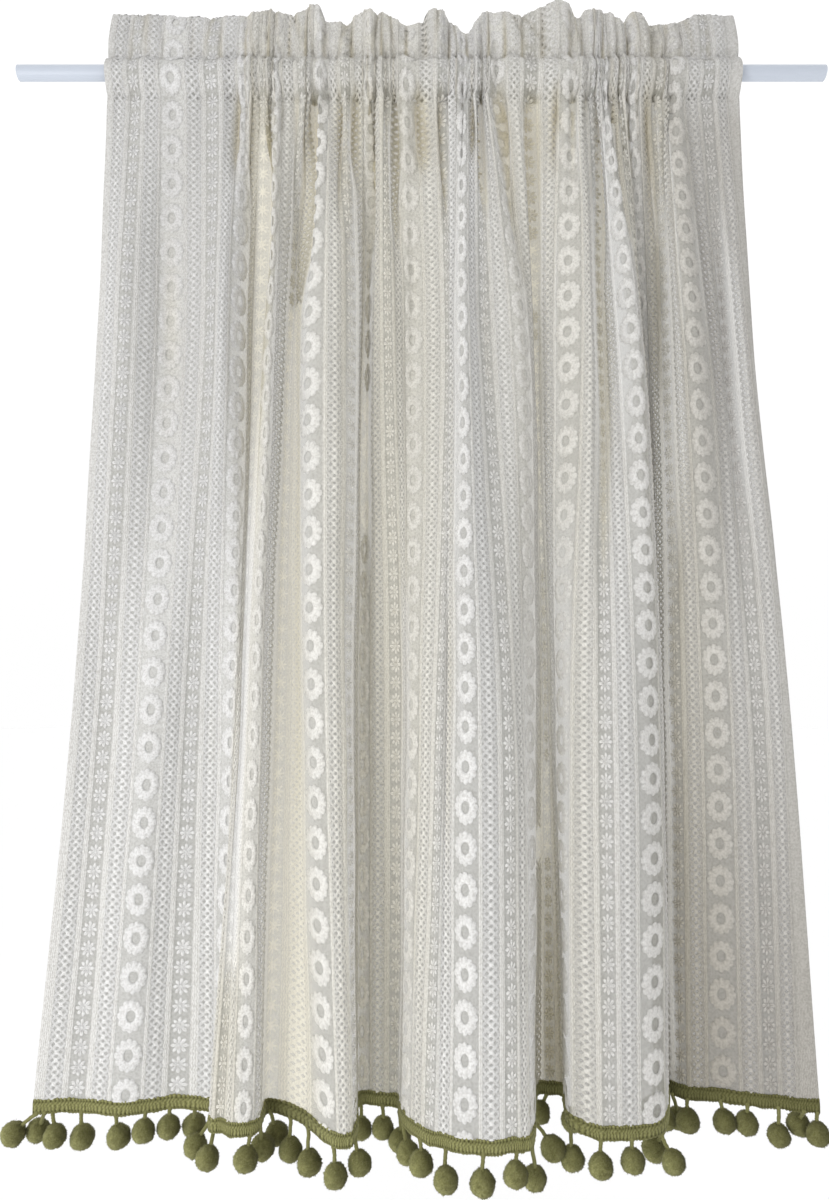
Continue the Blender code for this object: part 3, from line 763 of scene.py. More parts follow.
    def in_sight(self, centres):
        """Leaves out the motifs of the deep recesses, where only the sheet's own pattern shows."""
        centres = np.array(centres)
        inside = np.clip(centres, 0, [CUT_WIDTH, RUN_END])
        return centres[self.blend(self.thin, inside[:, 0], inside[:, 1]) < 0.5]

    def blend(self, grid, flat, run):
        """A grid's values between its points."""
        column = span_of(self.flat, flat)
        row = span_of(self.run, run)
        s = (flat - self.flat[column]) / (self.flat[column + 1] - self.flat[column])
        t = (run - self.run[row]) / (self.run[row + 1] - self.run[row])
        if grid.ndim == 3:
            s, t = s[:, None], t[:, None]
        low = grid[row, column] * (1 - s) + grid[row, column + 1] * s
        high = grid[row + 1, column] * (1 - s) + grid[row + 1, column + 1] * s
        return low * (1 - t) + high * t

    def lay(self, flat, run, height):
        """Points this far out of the cloth, in millimetres."""
        out = unit(self.blend(self.normals, flat, run))
        return self.blend(self.points, flat, run) + out * height[:, None]


# ---- Meshes ----


def make_piece(name, points, faces, surface, values=None):
    """An object from points in millimetres and arrays of faces; values go on its points as attributes."""
    data = bpy.data.meshes.new(name)
    corners = np.concatenate([np.asarray(part, np.int32).ravel() for part in faces])
    sizes = np.concatenate([np.full(len(part), np.shape(part)[1], np.int32) for part in faces])
    starts = np.concatenate([[0], np.cumsum(sizes)[:-1]]).astype(np.int32)
    data.vertices.add(len(points))
    data.loops.add(len(corners))
    data.polygons.add(len(sizes))
    data.vertices.foreach_set("co", (np.asarray(points) * MM).astype(np.float32).ravel())
    data.loops.foreach_set("vertex_index", corners)
    data.polygons.foreach_set("loop_start", starts)
    for title, numbers in (values or {}).items():
        layer = data.attributes.new(title, "FLOAT", "POINT")
        layer.data.foreach_set("value", np.asarray(numbers, np.float32).ravel())
    data.update(calc_edges=True)
    data.validate()
    data.materials.append(surface)
    data.shade_smooth()
    thing = bpy.data.objects.new(name, data)
    bpy.context.scene.collection.objects.link(thing)
    return thing


def add_flat_map(thing, places):
    """Maps the laid-out cloth onto the unit square, one place for each point of the mesh."""
    corners = np.zeros(len(thing.data.loops), np.int32)
    thing.data.loops.foreach_get("vertex_index", corners)
    layer = thing.data.uv_layers.new(name="OFBake")
    layer.data.foreach_set("uv", places[corners].astype(np.float32).ravel())


def grid_faces(rows, columns):
    """Quads of a grid whose points are stored row after row, facing the cloth's right side."""
    index = np.arange(rows * columns).reshape(rows, columns)
    quads = np.stack([index[:-1, :-1], index[:-1, 1:], index[1:, 1:], index[1:, :-1]], -1)
    return quads.reshape(-1, 4)


def ring_faces(rings, around):
    """Quads between closed rings of points, from the first ring out to the last."""
    index = np.arange(rings * around).reshape(rings, around)
    after = np.roll(index, -1, axis=1)
    return np.stack([index[:-1], index[1:], after[1:], after[:-1]], -1).reshape(-1, 4)


def closed_rings(rings, around):
    """Quads between closed rings of points, with a lid on the first and last ring."""
    index = np.arange(rings * around).reshape(rings, around)
    return [ring_faces(rings, around), index[:1], index[-1:, ::-1]]


def knob(start, radius, sides, shift, top, rim):
    """A small cone's points and faces; top and rim are (height, tone of painted shade), and its points
    begin at start.
    """
    points = [(0, 0, *top)]
    faces = []
    for side in range(sides):
        turn = 2 * math.pi * (side + shift) / sides
        points.append((radius * math.cos(turn), radius * math.sin(turn), *rim))
        faces.append((start, start + 1 + side, start + 1 + (side + 1) % sides))
    return points, faces


def star_columns():
    """Flat places of the star columns, midway between the flower columns."""
    return [FIRST_FLOWER - HALF_REPEAT + number * REPEAT for number in range(COLUMNS)]


def copies(template, faces, centres, sizes=None):
    """Repeats a template of (flat, run, height, painted shade tone) points at each centre, with its faces.
    """
    count = len(centres)
    scaled = template[None] * (np.ones((count, 1, 4)) if sizes is None else sizes[:, None])
    points = scaled + np.concatenate([centres, np.zeros((count, 2))], 1)[:, None]
    shift = (np.arange(count) * len(template))[:, None, None]
    repeated = [(np.asarray(part)[None] + shift).reshape(-1, np.shape(part)[1]) for part in faces]
    return points.reshape(-1, 4), repeated


def within_cloth(points, faces):
    """Cuts what lies past the cloth's edges: points move to the edge and flattened faces go."""
    high = np.array([CUT_WIDTH, RUN_END]) - CLOTH_EDGE
    held = np.clip(points[:, :2], CLOTH_EDGE, high)
    past = (held != points[:, :2]).any(1)
    kept = [part[~past[part].all(1)] for part in faces]
    return np.concatenate([held, points[:, 2:]], 1), kept


def raised_piece(name, surface, cloth, points, faces):
    """Lays flat pattern pieces on the cloth as one mesh, with the cloth's looks at each point.

    Motifs' painted shade is evener where they are faint, they are lower where the cloth is crowded, and
    they carry less painted warm shade and crease shade where light comes through.
    """
    points, faces = within_cloth(points, faces)
    used = np.zeros(len(points), bool)
    for part in faces:
        used[part] = True
    place = np.cumsum(used) - 1
    flat, run, height, tone_and_painted_shade = points[used].T
    looks = {title: cloth.blend(grid, flat, run) for title, grid in cloth.looks.items()}
    even = np.maximum(0.7 * looks["crowd"], 0.6 * looks["faint"])
    lit = 1 - 0.6 * np.minimum(1, looks["glow"])
    # The cloth's painted warm, grey and crease shade go onto the motifs, and their tone carries their own
    # painted shade.
    values = {
        "tone_and_painted_shade": tone_and_painted_shade + even * (EVEN_TONE - tone_and_painted_shade),
        "faint": looks["faint"],
        "recess": looks["recess"] * lit,
        "painted_grey_shade": looks["painted_grey_shade"],
        "gap": looks["gap"] * lit,
    }
    laid = cloth.lay(flat, run, height * (1 - 0.5 * looks["crowd"]))
    return make_piece(name, laid, [place[part] for part in faces], surface, values)


def raise_motifs(name, motif, centres, cloth, surface, chance, uneven):
    """Lays a motif at each centre in sight, each a little different in size, height and tone."""
    centres = cloth.in_sight(centres)
    sizes = 1 + chance.uniform(-uneven, uneven, (len(centres), 4))
    return raised_piece(name, surface, cloth, *copies(*motif, centres, sizes))


def flower_template():
    """One flower: a scalloped ring of rounded petals round an open eye."""
    around = 4 * PETALS
    turns = 2 * math.pi * np.arange(around) / around
    bloom = np.abs(np.cos(PETALS / 2 * turns)) ** 0.6
    rim = 1 - SCALLOP * (1 - bloom)
    rings = []
    for share, height, tone_and_painted_shade, notch in FLOWER_RINGS:
        wide = FLOWER_EYE_WIDE + share * (FLOWER_WIDE * rim - FLOWER_EYE_WIDE)
        high = FLOWER_EYE_HIGH + share * (FLOWER_HIGH * rim - FLOWER_EYE_HIGH)
        groove = 1 - notch * (1 - bloom)
        ring = (wide * np.cos(turns), high * np.sin(turns), 0.15 + height * groove, tone_and_painted_shade * groove)
        rings.append(np.stack(ring, 1))
    return np.concatenate(rings), [ring_faces(len(rings), around)]


def build_flowers(cloth, surface, chance):
    centres = []
    for number, (start, pitch, _) in enumerate(FLOWER_ROWS[1:]):
        flat = FIRST_FLOWER + number * REPEAT
        if flat < SIDE_HEM_RIGHT:
            centres += [(flat, run) for run in np.arange(start - pitch, RUN_END + pitch, pitch)]
    return raise_motifs("lace_flowers", flower_template(), centres, cloth, surface, chance, 0.03)


def star_template():
    """One star: drop-shaped petals, narrow at its middle and broad at their ends, round a small knot."""
    half_outline = [(1.0, 0.4), (PETAL_BROAD, 1.5), (6.1, 1.15)]
    outline = half_outline + [(STAR_RADIUS, 0)] + [(reach, -half) for reach, half in reversed(half_outline)]
    points = []
    faces = []
    for petal in range(STAR_PETALS):
        turn = 2 * math.pi * petal / STAR_PETALS
        ahead = np.array([math.cos(turn), math.sin(turn)])
        aside = np.array([-ahead[1], ahead[0]])
        first = len(points)
        # Painted shade: lighter along each petal's middle, darker at its outline and at the knot's rim.
        points.append((*(PETAL_BROAD * ahead), 1.25, 1.08))
        points += [(*(reach * ahead + half * aside), 0.3, 0.92) for reach, half in outline]
        faces += [(first, first + i + 1, first + i) for i in range(1, len(outline))]
    knot, knot_faces = knob(len(points), STAR_KNOT, STAR_KNOT_SIDES, 0, (0.9, 1.0), (0.3, 0.85))
    return np.array(points + knot), [np.array(faces + knot_faces)]


def build_stars(cloth, surface, chance):
    rows = np.arange(STAR_START, RUN_END + STAR_PITCH, STAR_PITCH)
    centres = [(flat, run) for flat in star_columns() for run in rows]
    return raise_motifs("lace_stars", star_template(), centres, cloth, surface, chance, 0.05)


def lattice_template():
    """One step of a lattice band: two slanting strands, ridged along their middle, that cross at a knot."""
    slope = LATTICE_PITCH / 2 / LATTICE_CELL
    lean = math.hypot(1, slope)
    half_profile = [(-STRAND_REACH, -0.35), (-LATTICE_CELL, 0.1)]
    profile = half_profile + [(0, 0)] + [(-away, lift) for away, lift in reversed(half_profile)]
    points = []
    faces = []
    for side in (-1, 1):
        first = len(points)
        aside = np.array([-side * slope, 1]) * STRAND_HALF / lean
        for away, lift in profile:
            middle = np.array([away, side * slope * away])
            # Painted shade: darker at the strands' sides and towards their ends; the knot lighter on top
            # than at its rim.
            tone_and_painted_shade = 1.0 - 0.035 * abs(away)
            points.append((*(middle - aside), 0.3, 0.86 * tone_and_painted_shade))
            points.append((*middle, 0.9 + lift, tone_and_painted_shade))
            points.append((*(middle + aside), 0.3, 0.86 * tone_and_painted_shade))
        for low in range(first, first + 12, 3):
            faces += [(low, low + 3, low + 4, low + 1), (low + 1, low + 4, low + 5, low + 2)]
    knot, knot_faces = knob(len(points), KNOT_RADIUS, KNOT_SIDES, 0.5, (1.5, 1.12), (0.75, 0.96))
    return np.array(points + knot), [np.array(faces), np.array(knot_faces)]


def build_lattice(cloth, surface):
    centres = []
    for star in star_columns():
        for flat in (star - HALF_REPEAT + LATTICE_MIDDLE, star + HALF_REPEAT - LATTICE_MIDDLE):
            centres += [(flat, run) for run in np.arange(0, RUN_END, LATTICE_PITCH)]
    template, faces = lattice_template()
    return raised_piece("lace_lattice", surface, cloth, *copies(template, faces, cloth.in_sight(centres)))


def build_sheet(cloth, surface):
    """The lace ground: one thin sheet with its bars and side hems raised a little."""
    rows, columns = cloth.points.shape[:2]
    points = cloth.points + cloth.normals * cloth.relief[None, :, None]
    flat = np.broadcast_to(cloth.flat, (rows, columns))
    run = np.broadcast_to(cloth.run[:, None], (rows, columns))
    number = np.clip(np.round((cloth.flat - FIRST_FLOWER) / REPEAT).astype(int) + 1, 0, COLUMNS)
    start, pitch, light = np.array(FLOWER_ROWS)[number].T
    values = {
        "flat": flat,
        "run": run,
        "flower_turn": (run - start) / pitch + 2,
        "star_turn": (run - STAR_START) / STAR_PITCH + 2,
        "net_light": np.broadcast_to(light, (rows, columns)),
        **cloth.looks,
    }
    sheet = make_piece("lace_panel", points.reshape(-1, 3), [grid_faces(rows, columns)], surface, values)
    add_flat_map(sheet, np.stack([flat / CUT_WIDTH, run / CUT_LENGTH], -1).reshape(-1, 2))
    return sheet


def hem_line(flat):
    """Points of the hem in the part's frame, and unit vectors out of the cloth there."""
    line = to_frame(*hanging_row(flat, 0.0))
    along = np.gradient(line, flat, axis=0)
    return line, unit(np.stack([along[:, 1], -along[:, 0], np.zeros(len(flat))], 1))


def tape_section():
    """Points round the tape as (height share from its bottom, half depth, side)."""
    shares = (0.0, 0.05, TAPE_GROOVES[0], 0.3, 0.44, 0.58, 0.72, TAPE_GROOVES[1], 0.95, 1.0)
    halves = (0.35, 0.85, 1, 1, 1, 1, 1, 1, 0.85, 0.35)
    front = [(share, half, 1) for share, half in zip(shares, halves)]
    return front + [(share, half, -1) for share, half, _ in reversed(front)]


def hem_painted_light(cloth, flat):
    """How much painted light the trim gets at the hem: less where the hem lies back or in painted grey
    shade.
    """
    dark = np.maximum(cloth.thin[0], np.minimum(1, 2.2 * cloth.looks["painted_grey_shade"][0]) ** 2)
    return 1 - HEM_PAINTED_SHADE * np.interp(flat, cloth.flat, dark)


def build_tape(cloth, surface):
    """A braid of slanted twists with a corded edge above and below."""
    count = int(CUT_WIDTH / TAPE_STEP)
    flat = np.linspace(0, CUT_WIDTH, count)
    line, out = hem_line(flat)
    up = np.array([0, 0, 1])
    rings, tones = [], []
    for share, half, side in tape_section():
        edge = abs(2 * share - 1) ** 4 * np.sign(share - 0.5)
        slant = (1.9 * share + 0.3 * math.sin(9 * share)) * side
        uneven = 0.3 * np.sin(flat / 7) + 0.16 * np.sin(flat / 2.9 + 5 * share)
        twist = np.abs(np.sin(math.pi * (flat / RIB_PITCH + slant + uneven)))
        rib = RIB_DEPTH * (1 + 0.3 * np.sin(flat / 4.1 + 8 * share)) * (twist**0.7 - 0.6)
        groove = -0.35 if share in TAPE_GROOVES else 0.0
        depth = side * (TAPE_HALF * half + rib + groove)
        sway = 0.35 * np.sin(flat / 5.1 + 3 * share) + 0.25 * np.sin(flat / 2.3)
        height = TAPE_BOTTOM + share * (TAPE_TOP - TAPE_BOTTOM) + edge * (rib * 1.1 + sway)
        rings.append(line + out * depth[:, None] + up * height[:, None])
        # Painted shade: darker between the twists and in the grooves beside the corded edges.
        tones.append(0.1 + 0.8 * twist + groove)
    points = np.stack(rings, 1)
    # The tape also gets painted shade where the hem lies back.
    values = {"tone_and_painted_shade": np.stack(tones, 1) * hem_painted_light(cloth, flat)[:, None]}
    return make_piece("trim_tape", points.reshape(-1, 3), closed_rings(*points.shape[:2]), surface, values)


def pompom_axes(row):
    """A pompom's root on the tape, its direction down the cord, the two across it, and its reach."""
    flat, right, out, drop = row
    around = np.array([flat - 1.0, flat, flat + 1.0])
    root = to_frame(*hanging_row(around, 0.0))[1] + [0, 0, TAPE_BOTTOM]
    hang = np.array([right, -out, -(CORD_AND_HALF_BALL + drop)], float)
    reach = np.linalg.norm(hang)
    down = hang / reach
    side = unit(np.cross(down, [0, 1, 0]))
    return root, down, side, np.cross(side, down), reach


def tube(centres, radii, side, ahead, sides, turn):
    """Rings of a twisted yarn: its radius swells and sinks round it as three plies."""
    angles = 2 * math.pi * np.arange(sides) / sides
    rings = []
    for centre, radius, phase in zip(centres, radii, turn):
        ply = radius * (1 + 0.16 * np.cos(3 * (angles - phase)))
        rings.append(centre + np.outer(ply * np.cos(angles), side) + np.outer(ply * np.sin(angles), ahead))
    return np.concatenate(rings)


def join(parts):
    """One list of points and arrays of faces from many."""
    points, faces, start = [], {}, 0
    for some_points, some_faces in parts:
        points.append(some_points)
        for group in some_faces:
            faces.setdefault(np.shape(group)[1], []).append(np.asarray(group) + start)
        start += len(some_points)
    return np.concatenate(points), [np.concatenate(group) for group in faces.values()]


def away_from_light(offsets):
    """From 0 to 1, how far round to the side that gets less light: at the right and a little above."""
    across_ball = offsets @ np.array(AWAY_FROM_LIGHT) / BALL_WIDE
    return np.clip(0.42 + 0.62 * across_ball, 0, 1)


def build_cords(surface):
    """Twisted stalks, thicker where they leave the tape and where they enter the pompoms."""
    parts = []
    for row in POMPOMS:
        root, down, side, ahead, reach = pompom_axes(row)
        below = np.linspace(-3.0, reach - BALL_HIGH + 2.5, CORD_STEPS)
        sag = 0.5 * np.sin(below / 4 + row[0])
        centres = root + np.outer(below, down) + np.outer(sag, side)
        ends = 0.35 * np.exp(-((below + 1.0) ** 2) / 3) + 0.3 * np.exp(-((below - below[-1]) ** 2) / 4)
        turn = 4 * math.pi * below / CORD_TWIST / 3 + row[0]
        yarn = tube(centres, CORD_RADIUS * (1 + ends), side, ahead, CORD_SIDES, turn)
        parts.append((yarn, closed_rings(CORD_STEPS, CORD_SIDES)))
    points, faces = join(parts)
    return make_piece("trim_cords", points, faces, surface, {"tone_and_painted_shade": np.full(len(points), 0.55)})


def egg(tilt):
    """Half width share of a pompom at this angle over its middle, which narrows to the neck."""
    return np.cos(tilt) * (1 - 0.1 * np.sin(tilt) - 0.05 * np.maximum(0, np.sin(tilt)) ** 4)


def ball_surface(tilt, turn, lumps):
    """Distance out along (side, ahead, up) for a pompom's pile, uneven by slow lumps."""
    swell = 1 + 0.035 * np.sin(3 * turn + lumps[0]) * np.cos(2 * tilt + lumps[1])
    swell = swell + 0.025 * np.sin(5 * turn + lumps[2] + 4 * tilt)
    wide = BALL_WIDE * egg(tilt) * swell
    return np.stack([wide * np.cos(turn), wide * np.sin(turn), BALL_HIGH * np.sin(tilt) * swell], -1)


def ball_core(lumps, size, chance):
    """Points of a pompom's core, ring after ring."""
    tilts = np.linspace(-math.pi / 2 + 0.09, math.pi / 2 - 0.09, BALL_RINGS)
    turns = 2 * math.pi * np.arange(BALL_SIDES) / BALL_SIDES
    tilt, turn = np.meshgrid(tilts, turns, indexing="ij")
    core = ball_surface(tilt, turn, lumps) * size
    core *= 1 + chance.uniform(-0.028, 0.028, tilt.shape)[..., None]
    return core.reshape(-1, 3)


def ball_tufts(lumps, size, chance):
    """Loose ends of yarn round a pompom: slim three-sided spikes of four points each, the tip last."""
    tilt = np.arcsin(chance.uniform(-0.99, 0.97, TUFTS))
    turn = chance.uniform(0, 2 * math.pi, TUFTS)
    foot = ball_surface(tilt, turn, lumps) * size
    out = unit(foot / np.array([BALL_WIDE**2, BALL_WIDE**2, BALL_HIGH**2]))
    out = out + chance.normal(0, 0.28, (TUFTS, 3))
    tip = foot + out * chance.uniform(0.55, 1.05, (TUFTS, 1))
    spread = TUFT_WIDE * unit(np.cross(out, chance.normal(0, 1, (TUFTS, 3))))
    other = 0.87 * np.cross(out, spread)
    foot = foot - out * 0.7
    spikes = np.stack([foot + spread, foot - 0.5 * spread + other, foot - 0.5 * spread - other, tip], 1)
    start = np.arange(TUFTS)[:, None] * 4
    sides = [start + corner for corner in ((0, 1, 3), (1, 2, 3), (2, 0, 3))]
    return spikes.reshape(-1, 3), [np.concatenate(sides)]


def build_pompoms(cloth, surface, chance):
    """Balls of short dense yarn: a lumpy core with loose ends standing from it."""
    parts, tones = [], []
    for row in POMPOMS:
        root, down, side, ahead, reach = pompom_axes(row)
        axes = np.array([side, ahead, -down])
        middle = root + down * reach
        # Painted shade: a ball is darker where the hem lies back, on its side away from the light, in its
        # core and at the feet of its loose ends; the core's tone is also uneven at random.
        light = 0.3 + 0.75 * float(hem_painted_light(cloth, row[0]))
        lumps = chance.uniform(0, 2 * math.pi, 3)
        size = 1 + chance.uniform(-0.05, 0.04)
        core = ball_core(lumps, size, chance) @ axes
        core_tone = chance.uniform(0.6, 0.95, len(core))
        tufts, tuft_faces = ball_tufts(lumps, size, chance)
        tufts = tufts @ axes
        tuft_tone = np.tile(TUFT_TONES, TUFTS) * np.repeat(chance.uniform(0.75, 1.1, TUFTS), 4)
        parts += [(middle + core, closed_rings(BALL_RINGS, BALL_SIDES)), (middle + tufts, tuft_faces)]
        for points, tone_and_painted_shade in ((core, core_tone), (tufts, tuft_tone)):
            tones.append(tone_and_painted_shade * light * (1 - BALL_PAINTED_SHADE * away_from_light(points)))
    points, faces = join(parts)
    return make_piece("trim_pompoms", points, faces, surface, {"tone_and_painted_shade": np.concatenate(tones)})


# ---- Materials ----


class Wire:
    """A number in a shader tree. Arithmetic on it adds math nodes."""

    def __init__(self, tree, socket):
        self.tree = tree
        self.socket = socket

    def math(self, operation, *others, clamp=False):
        node = self.tree.nodes.new("ShaderNodeMath")
        node.operation = operation
        node.use_clamp = clamp
        for slot, value in zip(node.inputs, (self, *others)):
            if isinstance(value, Wire):
                self.tree.links.new(value.socket, slot)
            else:
                slot.default_value = value
        return Wire(self.tree, node.outputs[0])

    def __add__(self, other):
        return self.math("ADD", other)

    def __sub__(self, other):
        return self.math("SUBTRACT", other)

    def __mul__(self, other):
        return self.math("MULTIPLY", other)

    def __truediv__(self, other):
        return self.math("DIVIDE", other)

    def size(self):
        return self.math("ABSOLUTE")

    def flip(self):
        """One less this."""
        return (self * -1.0) + 1.0

    def fold(self, scale):
        return self.math("PINGPONG", scale)

    def under(self, edge, soft=0.5):
        """1 well under the edge and 0 well over it, with a soft step between."""
        gap = (self * -1.0) + edge
        return (gap / soft).math("ADD", 0.5, clamp=True)

    def over(self, edge, soft=0.5):
        return ((self - edge) / soft).math("ADD", 0.5, clamp=True)

    def either(self, other):
        return self.math("MAXIMUM", other)


def length(aside, up):
    return (aside.math("POWER", 2.0) + up.math("POWER", 2.0)).math("SQRT")


class Look:
    """A material and what feeds its shader. A colour is three numbers or another node's socket."""

    def __init__(self, name, roughness=0.85, sheen=0.0, sheen_roughness=0.5, gloss=0.25):
        self.material = bpy.data.materials.new(name)
        self.material.use_nodes = True
        self.tree = self.material.node_tree
        self.inputs = self.tree.nodes["Principled BSDF"].inputs
        self.inputs["Roughness"].default_value = roughness
        self.inputs["Sheen Weight"].default_value = sheen
        self.inputs["Sheen Roughness"].default_value = sheen_roughness
        self.inputs["Specular IOR Level"].default_value = gloss

    def node(self, kind, **values):
        made = self.tree.nodes.new(kind)
        for title, value in values.items():
            made.inputs[title.replace("_", " ").title()].default_value = value
        return made

    def link(self, source, slot):
        self.tree.links.new(source.socket if isinstance(source, Wire) else source, slot)

    def attribute(self, name):
        node = self.node("ShaderNodeAttribute")
        node.attribute_name = name
        return Wire(self.tree, node.outputs["Fac"])

    def noise(self, scale, detail=2.0, roughness=0.5):
        """Noise in the object's own coordinates, from 0 to 1; scale is per metre."""
        place = self.node("ShaderNodeTexCoord")
        node = self.node("ShaderNodeTexNoise", scale=scale, detail=detail, roughness=roughness)
        self.link(place.outputs["Object"], node.inputs["Vector"])
        return Wire(self.tree, node.outputs["Fac"])

    def mix(self, share, low, high, blend="MIX"):
        """The low colour where share is 0 and the high one where it is 1."""
        node = self.node("ShaderNodeMix")
        node.data_type = "RGBA"
        node.blend_type = blend
        self.link(share, node.inputs["Factor"])
        for slot, value in ((node.inputs[6], low), (node.inputs[7], high)):
            if isinstance(value, tuple):
                slot.default_value = (*value, 1)
            else:
                self.link(value, slot)
        return node.outputs[2]

    def tint(self, share, base, colour):
        """The base colour, multiplied by another where share is 1."""
        return self.mix(share, base, colour, "MULTIPLY")

    def tint_by_light(self, base):
        """Painted warm shade, painted grey shade and painted crease shade, as the cloth's own measures say.
        """
        for name, colour in (("recess", PAINTED_WARM), ("painted_grey_shade", PAINTED_GREY), ("gap", PAINTED_CREASE_SHADE)):
            base = self.tint(self.attribute(name), base, colour)
        return base

    # Darkens the base towards deep where the tone is low: painted shade.
    def tint_by_painted_shade(self, base, deep):
        low = (self.attribute("tone_and_painted_shade") * -1.0).math("ADD", 1.0, clamp=True)
        return self.tint(low, base, deep)

    def paint(self, base, height, distance, strength):
        """Sets the base colour and a bump, and returns the material."""
        self.link(base, self.inputs["Base Color"])
        node = self.node("ShaderNodeBump", distance=distance * MM, strength=strength)
        self.link(height, node.inputs["Height"])
        self.link(node.outputs["Normal"], self.inputs["Normal"])
        return self.material


THREAD = (0.895, 0.892, 0.882)
THREAD_SHADE = (0.835, 0.831, 0.815)
BAR = (0.80, 0.795, 0.77)
# The net's grey is partly its fine open mesh and partly painted shade of what lies behind it; the holes'
# colours are painted shade seen through them, paler where the pattern is faint.
NET = (0.50, 0.497, 0.475)
NET_SHADE = (0.44, 0.435, 0.405)
NET_LIGHT = (0.70, 0.697, 0.675)
CROWDED = (0.82, 0.815, 0.79)
# Threads are dimmer where the pattern is faint; in the recesses this is painted shade.
DIM = (0.87, 0.87, 0.88)
HOLE_PAINTED_SHADE = (0.34, 0.337, 0.312)
HOLE_PAINTED_SHADE_PALE = (0.66, 0.657, 0.63)
# Painted shade: warm in the recesses, grey at the right and near the hem, dark in the creases' bottoms
PAINTED_WARM = (1.0, 0.928, 0.68)
PAINTED_GREY = (0.54, 0.515, 0.48)
PAINTED_CREASE_SHADE = (0.62, 0.56, 0.41)
GRAIN = (0.68, 0.67, 0.65)
YARN = (0.305, 0.305, 0.11)
YARN_SHADE = (0.21, 0.207, 0.062)
YARN_TIP = (0.44, 0.435, 0.205)
# Painted shade of the yarn, where its tone is low
YARN_PAINTED_SHADE = (0.16, 0.15, 0.10)
PAINT = (0.57, 0.615, 0.69)
PAINT_SHADE = (0.52, 0.565, 0.645)
FLOOR_COLOUR = (0.97, 0.97, 0.97)
FLOOR_SHADE = (0.955, 0.955, 0.955)

NET_MESH = 1.5  # repeat of the fine net
NET_OPEN, HOLE_OPEN, GLOW_OPEN = 0.35, 0.15, 0.36  # how open the net, the holes and the thin cloth are
SOFT, LATTICE_SOFT = 0.4, 0.3  # how wide the soft edges of the bars and the lattice are


def lace_pattern(look):
    """Where the ground is solid thread and where it is open, from the sheet's own measures."""
    flat = look.attribute("flat")
    run = look.attribute("run")
    light = look.attribute("net_light")
    away = (flat + (REPEAT * 10 - FIRST_FLOWER)).fold(HALF_REPEAT)
    flower_up = look.attribute("flower_turn").fold(0.5) * FLOWER_PITCH
    star_up = look.attribute("star_turn").fold(0.5) * STAR_PITCH
    lattice_up = (run / LATTICE_PITCH).fold(0.5) * LATTICE_PITCH

    angle = (flower_up / FLOWER_HIGH).math("ARCTAN2", away / FLOWER_WIDE)
    bloom = (angle * (PETALS / 2)).math("COSINE").size()
    rim = (bloom * SCALLOP) + (1 - SCALLOP)
    outside_eye = length(away / FLOWER_EYE_WIDE, flower_up / FLOWER_EYE_HIGH)
    flower = (length(away / FLOWER_WIDE, flower_up / FLOWER_HIGH) - rim).under(0.0, 0.05)
    flower = flower * outside_eye.over(1.0, 0.12)

    aside = (away * -1.0) + HALF_REPEAT
    star_reach = length(aside, star_up)
    star_angle = (star_up + 0.0001).math("ARCTAN2", aside)
    ray = (star_angle * (STAR_PETALS / 2)).math("SINE").size() * star_reach
    star = ray.under(3.0, 0.8) * star_reach.under(STAR_RADIUS, 0.6)

    lattice_aside = (away - LATTICE_MIDDLE).size()
    sideways, upwards = lattice_aside / LATTICE_CELL, lattice_up / (LATTICE_PITCH / 2)
    strand = 2 * STRAND_HALF / LATTICE_PITCH * math.hypot(1, LATTICE_PITCH / 2 / LATTICE_CELL)
    rising, falling = (sideways + upwards).fold(1.0), (sideways - upwards).fold(1.0)
    hole = rising.over(strand, 0.2) * falling.over(strand, 0.2)
    hole = hole * length(lattice_aside, lattice_up).over(KNOT_RADIUS, SOFT)
    in_lattice = away.over(NARROW_BAR, LATTICE_SOFT) * away.under(LATTICE_EDGE, LATTICE_SOFT)
    hole = hole * in_lattice

    narrow = away.over(FLOWER_GROUND, SOFT) * away.under(NARROW_BAR, SOFT)
    wide = away.over(LATTICE_EDGE, SOFT) * away.under(WIDE_BAR, SOFT)
    side_hem = flat.under(SIDE_HEM_LEFT, SOFT).either(flat.over(SIDE_HEM_RIGHT, SOFT))
    bars = narrow.either(wide).either(side_hem)
    solid = flower.either(star).either(in_lattice - hole).either(bars)
    hole = hole * side_hem.flip()
    light = light * away.under(FLOWER_GROUND + 0.4, 0.3) * (run.over(300, 300) * 0.6 + 0.4)
    light = light * outside_eye.over(1.0, 0.3)
    return flat, run, solid, hole, bars, away.over(WIDE_BAR, SOFT), light


